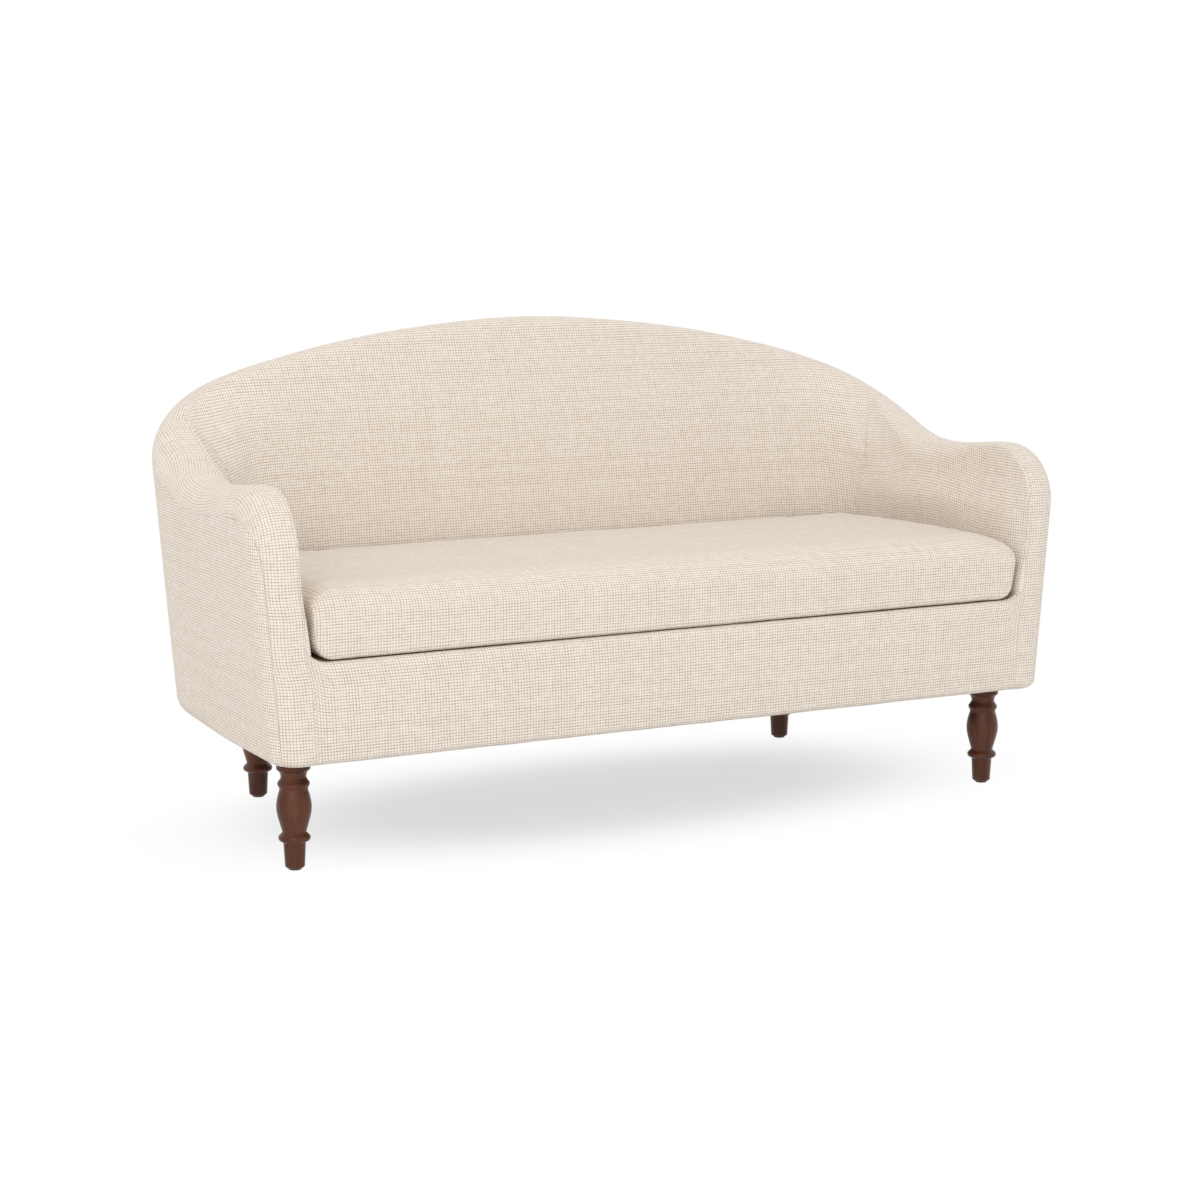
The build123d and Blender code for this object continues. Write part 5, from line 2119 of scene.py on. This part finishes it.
    def build(self) -> list[Piece]:
        """Model, fill and dress the cushion.

        Returns:
            The piece in a list.
        """
        piece = self.block()
        self.shape(piece)
        self.fill(piece)
        apply_modifier(piece, "SUBSURF", levels=1, render_levels=1)
        self.lay_weave(piece)
        only(piece)
        bpy.ops.object.shade_smooth()
        settle(piece, Body.CUSHION, "upholstery", "seat_cushion")
        COVER.put_on(piece)
        return [piece]


# CAD pieces that stay


def dress_frame() -> None:
    """Give every CAD node that stays the finish of its slot."""
    finishes = {row["node"]: row["material_slot"] for row in frame["record"]["subparts"]}
    for name, piece in frame["nodes"].items():
        slot = finishes.get(name, "frame_wood")
        finish = LEG_WOOD if slot == "leg_wood" else PLAIN_FINISHES.get(slot, PLAIN_FINISHES["lining"])
        finish.put_on(piece)


# Studio


@dataclass(frozen=True)
class Lamp:
    """Large soft lamp: where it hangs, the point that it faces, the side of its square face and its watts."""

    name: str
    place: tuple[float, float, float]
    aim: tuple[float, float, float]
    size: float
    power: float

    def build(self) -> None:
        """Hang the lamp."""
        data = bpy.data.lights.new(self.name, "AREA")
        data.shape = "SQUARE"
        data.size = self.size
        data.energy = self.power
        lamp = bpy.data.objects.new(self.name, data)
        bpy.context.collection.objects.link(lamp)
        lamp.location = self.place
        lamp.rotation_euler = (Vector(self.aim) - Vector(self.place)).to_track_quat("-Z", "Y").to_euler()


@dataclass
class Studio:
    """Plain pale floor, soft light from all round and the photograph's camera."""

    camera_place: tuple[float, float, float] = (-2.18786, -4.20998, 1.12459)
    tilt: float = 90.0 - 9.239
    turn: float = -27.553
    lens: float = 81.08
    sensor: float = 36.0
    ambient: float = 1.0
    white: Colour = (1.0, 1.0, 1.0, 1.0)
    floor_size: float = 60.0
    floor_cells: int = 8
    floor_white: Colour = (0.86, 0.86, 0.86, 1.0)
    floor_rough: float = 0.9
    shadow_share: float = 0.365
    shadow_stretch: tuple[float, float, float] = (1.05, 2.17, 0.0)
    shadow_span: tuple[float, float] = (0.38, 1.0)
    lamps: tuple[Lamp, ...] = (
        Lamp("key_lamp", (-2.5, -3.6, 2.6), (0.0, 0.0, 0.5), 3.0, 41.0),
        Lamp("top_lamp", (0.6, 0.4, 4.2), (0.0, 0.0, 0.4), 3.5, 2.0),
    )

    def build_camera(self) -> None:
        """Place the camera where the photograph was taken from."""
        data = bpy.data.cameras.new("camera")
        data.lens = self.lens
        data.sensor_width = self.sensor
        camera = bpy.data.objects.new("camera", data)
        bpy.context.collection.objects.link(camera)
        camera.location = self.camera_place
        camera.rotation_euler = (math.radians(self.tilt), 0.0, math.radians(self.turn))
        bpy.context.scene.camera = camera

    def build_floor(self) -> None:
        """Lay a floor that takes the shadow near the settee and fades to white away from it."""
        bpy.ops.object.select_all(action="DESELECT")
        cells = self.floor_cells
        bpy.ops.mesh.primitive_grid_add(x_subdivisions=cells, y_subdivisions=cells, size=self.floor_size)
        floor = bpy.context.object
        floor.name = "floor"
        made = bpy.data.materials.new("floor_paper")
        made.use_nodes = True
        nodes = Nodes(made.node_tree)
        shader = made.node_tree.nodes["Principled BSDF"]
        paper = {"Base Color": self.floor_white, "Roughness": self.floor_rough, "Specular IOR Level": 0.0}
        nodes.fill(shader, paper)
        place = nodes.add("ShaderNodeTexCoord").outputs["Object"]
        flat = nodes.stretch(place, self.shadow_stretch)
        distance = nodes.add("ShaderNodeVectorMath", {0: flat}, operation="LENGTH").outputs["Value"]
        far = nodes.span(distance, *self.shadow_span, (1.0 - self.shadow_share, 1.0))
        glow = nodes.add("ShaderNodeEmission", {"Color": self.white, "Strength": 1.0})
        share = nodes.math("MULTIPLY", far, nodes.seen())
        mix = nodes.add("ShaderNodeMixShader", {0: share, 1: shader.outputs[0], 2: glow.outputs[0]})
        nodes.fill(made.node_tree.nodes["Material Output"], {"Surface": mix.outputs[0]})
        floor.data.materials.append(made)

    def build_world(self) -> None:
        """White seen directly, soft light otherwise."""
        world = bpy.data.worlds.new("studio")
        bpy.context.scene.world = world
        world.use_nodes = True
        nodes = Nodes(world.node_tree)
        more = nodes.math("MULTIPLY", nodes.seen(), 1.0 - self.ambient)
        strength = nodes.math("ADD", more, self.ambient)
        nodes.fill(world.node_tree.nodes["Background"], {"Color": self.white, "Strength": strength})

    def build(self) -> None:
        """Set up the studio."""
        bpy.context.scene.view_settings.view_transform = "Standard"
        self.build_camera()
        self.build_floor()
        self.build_world()
        for lamp in self.lamps:
            lamp.build()


def main() -> None:
    """Build the sub-assemblies in order and report each piece."""
    logging.basicConfig(level=logging.INFO, format="%(name)s: %(message)s")
    shell = Shell()
    soft = SoftForm(shell)
    Studio().build()
    dress_frame()
    makers = (
        BoxingBand(shell, soft),
        OutsideCovers(shell),
        InsideCovers(shell, soft),
        FrontBorder(shell, soft),
        DustCover(shell),
        SeatCushion(shell, soft),
        ZipTape(),
    )
    for maker in makers:
        for piece in maker.build():
            log.info("built %s with %d faces", piece.name, len(piece.data.polygons))


if __name__ == "__main__":
    main()
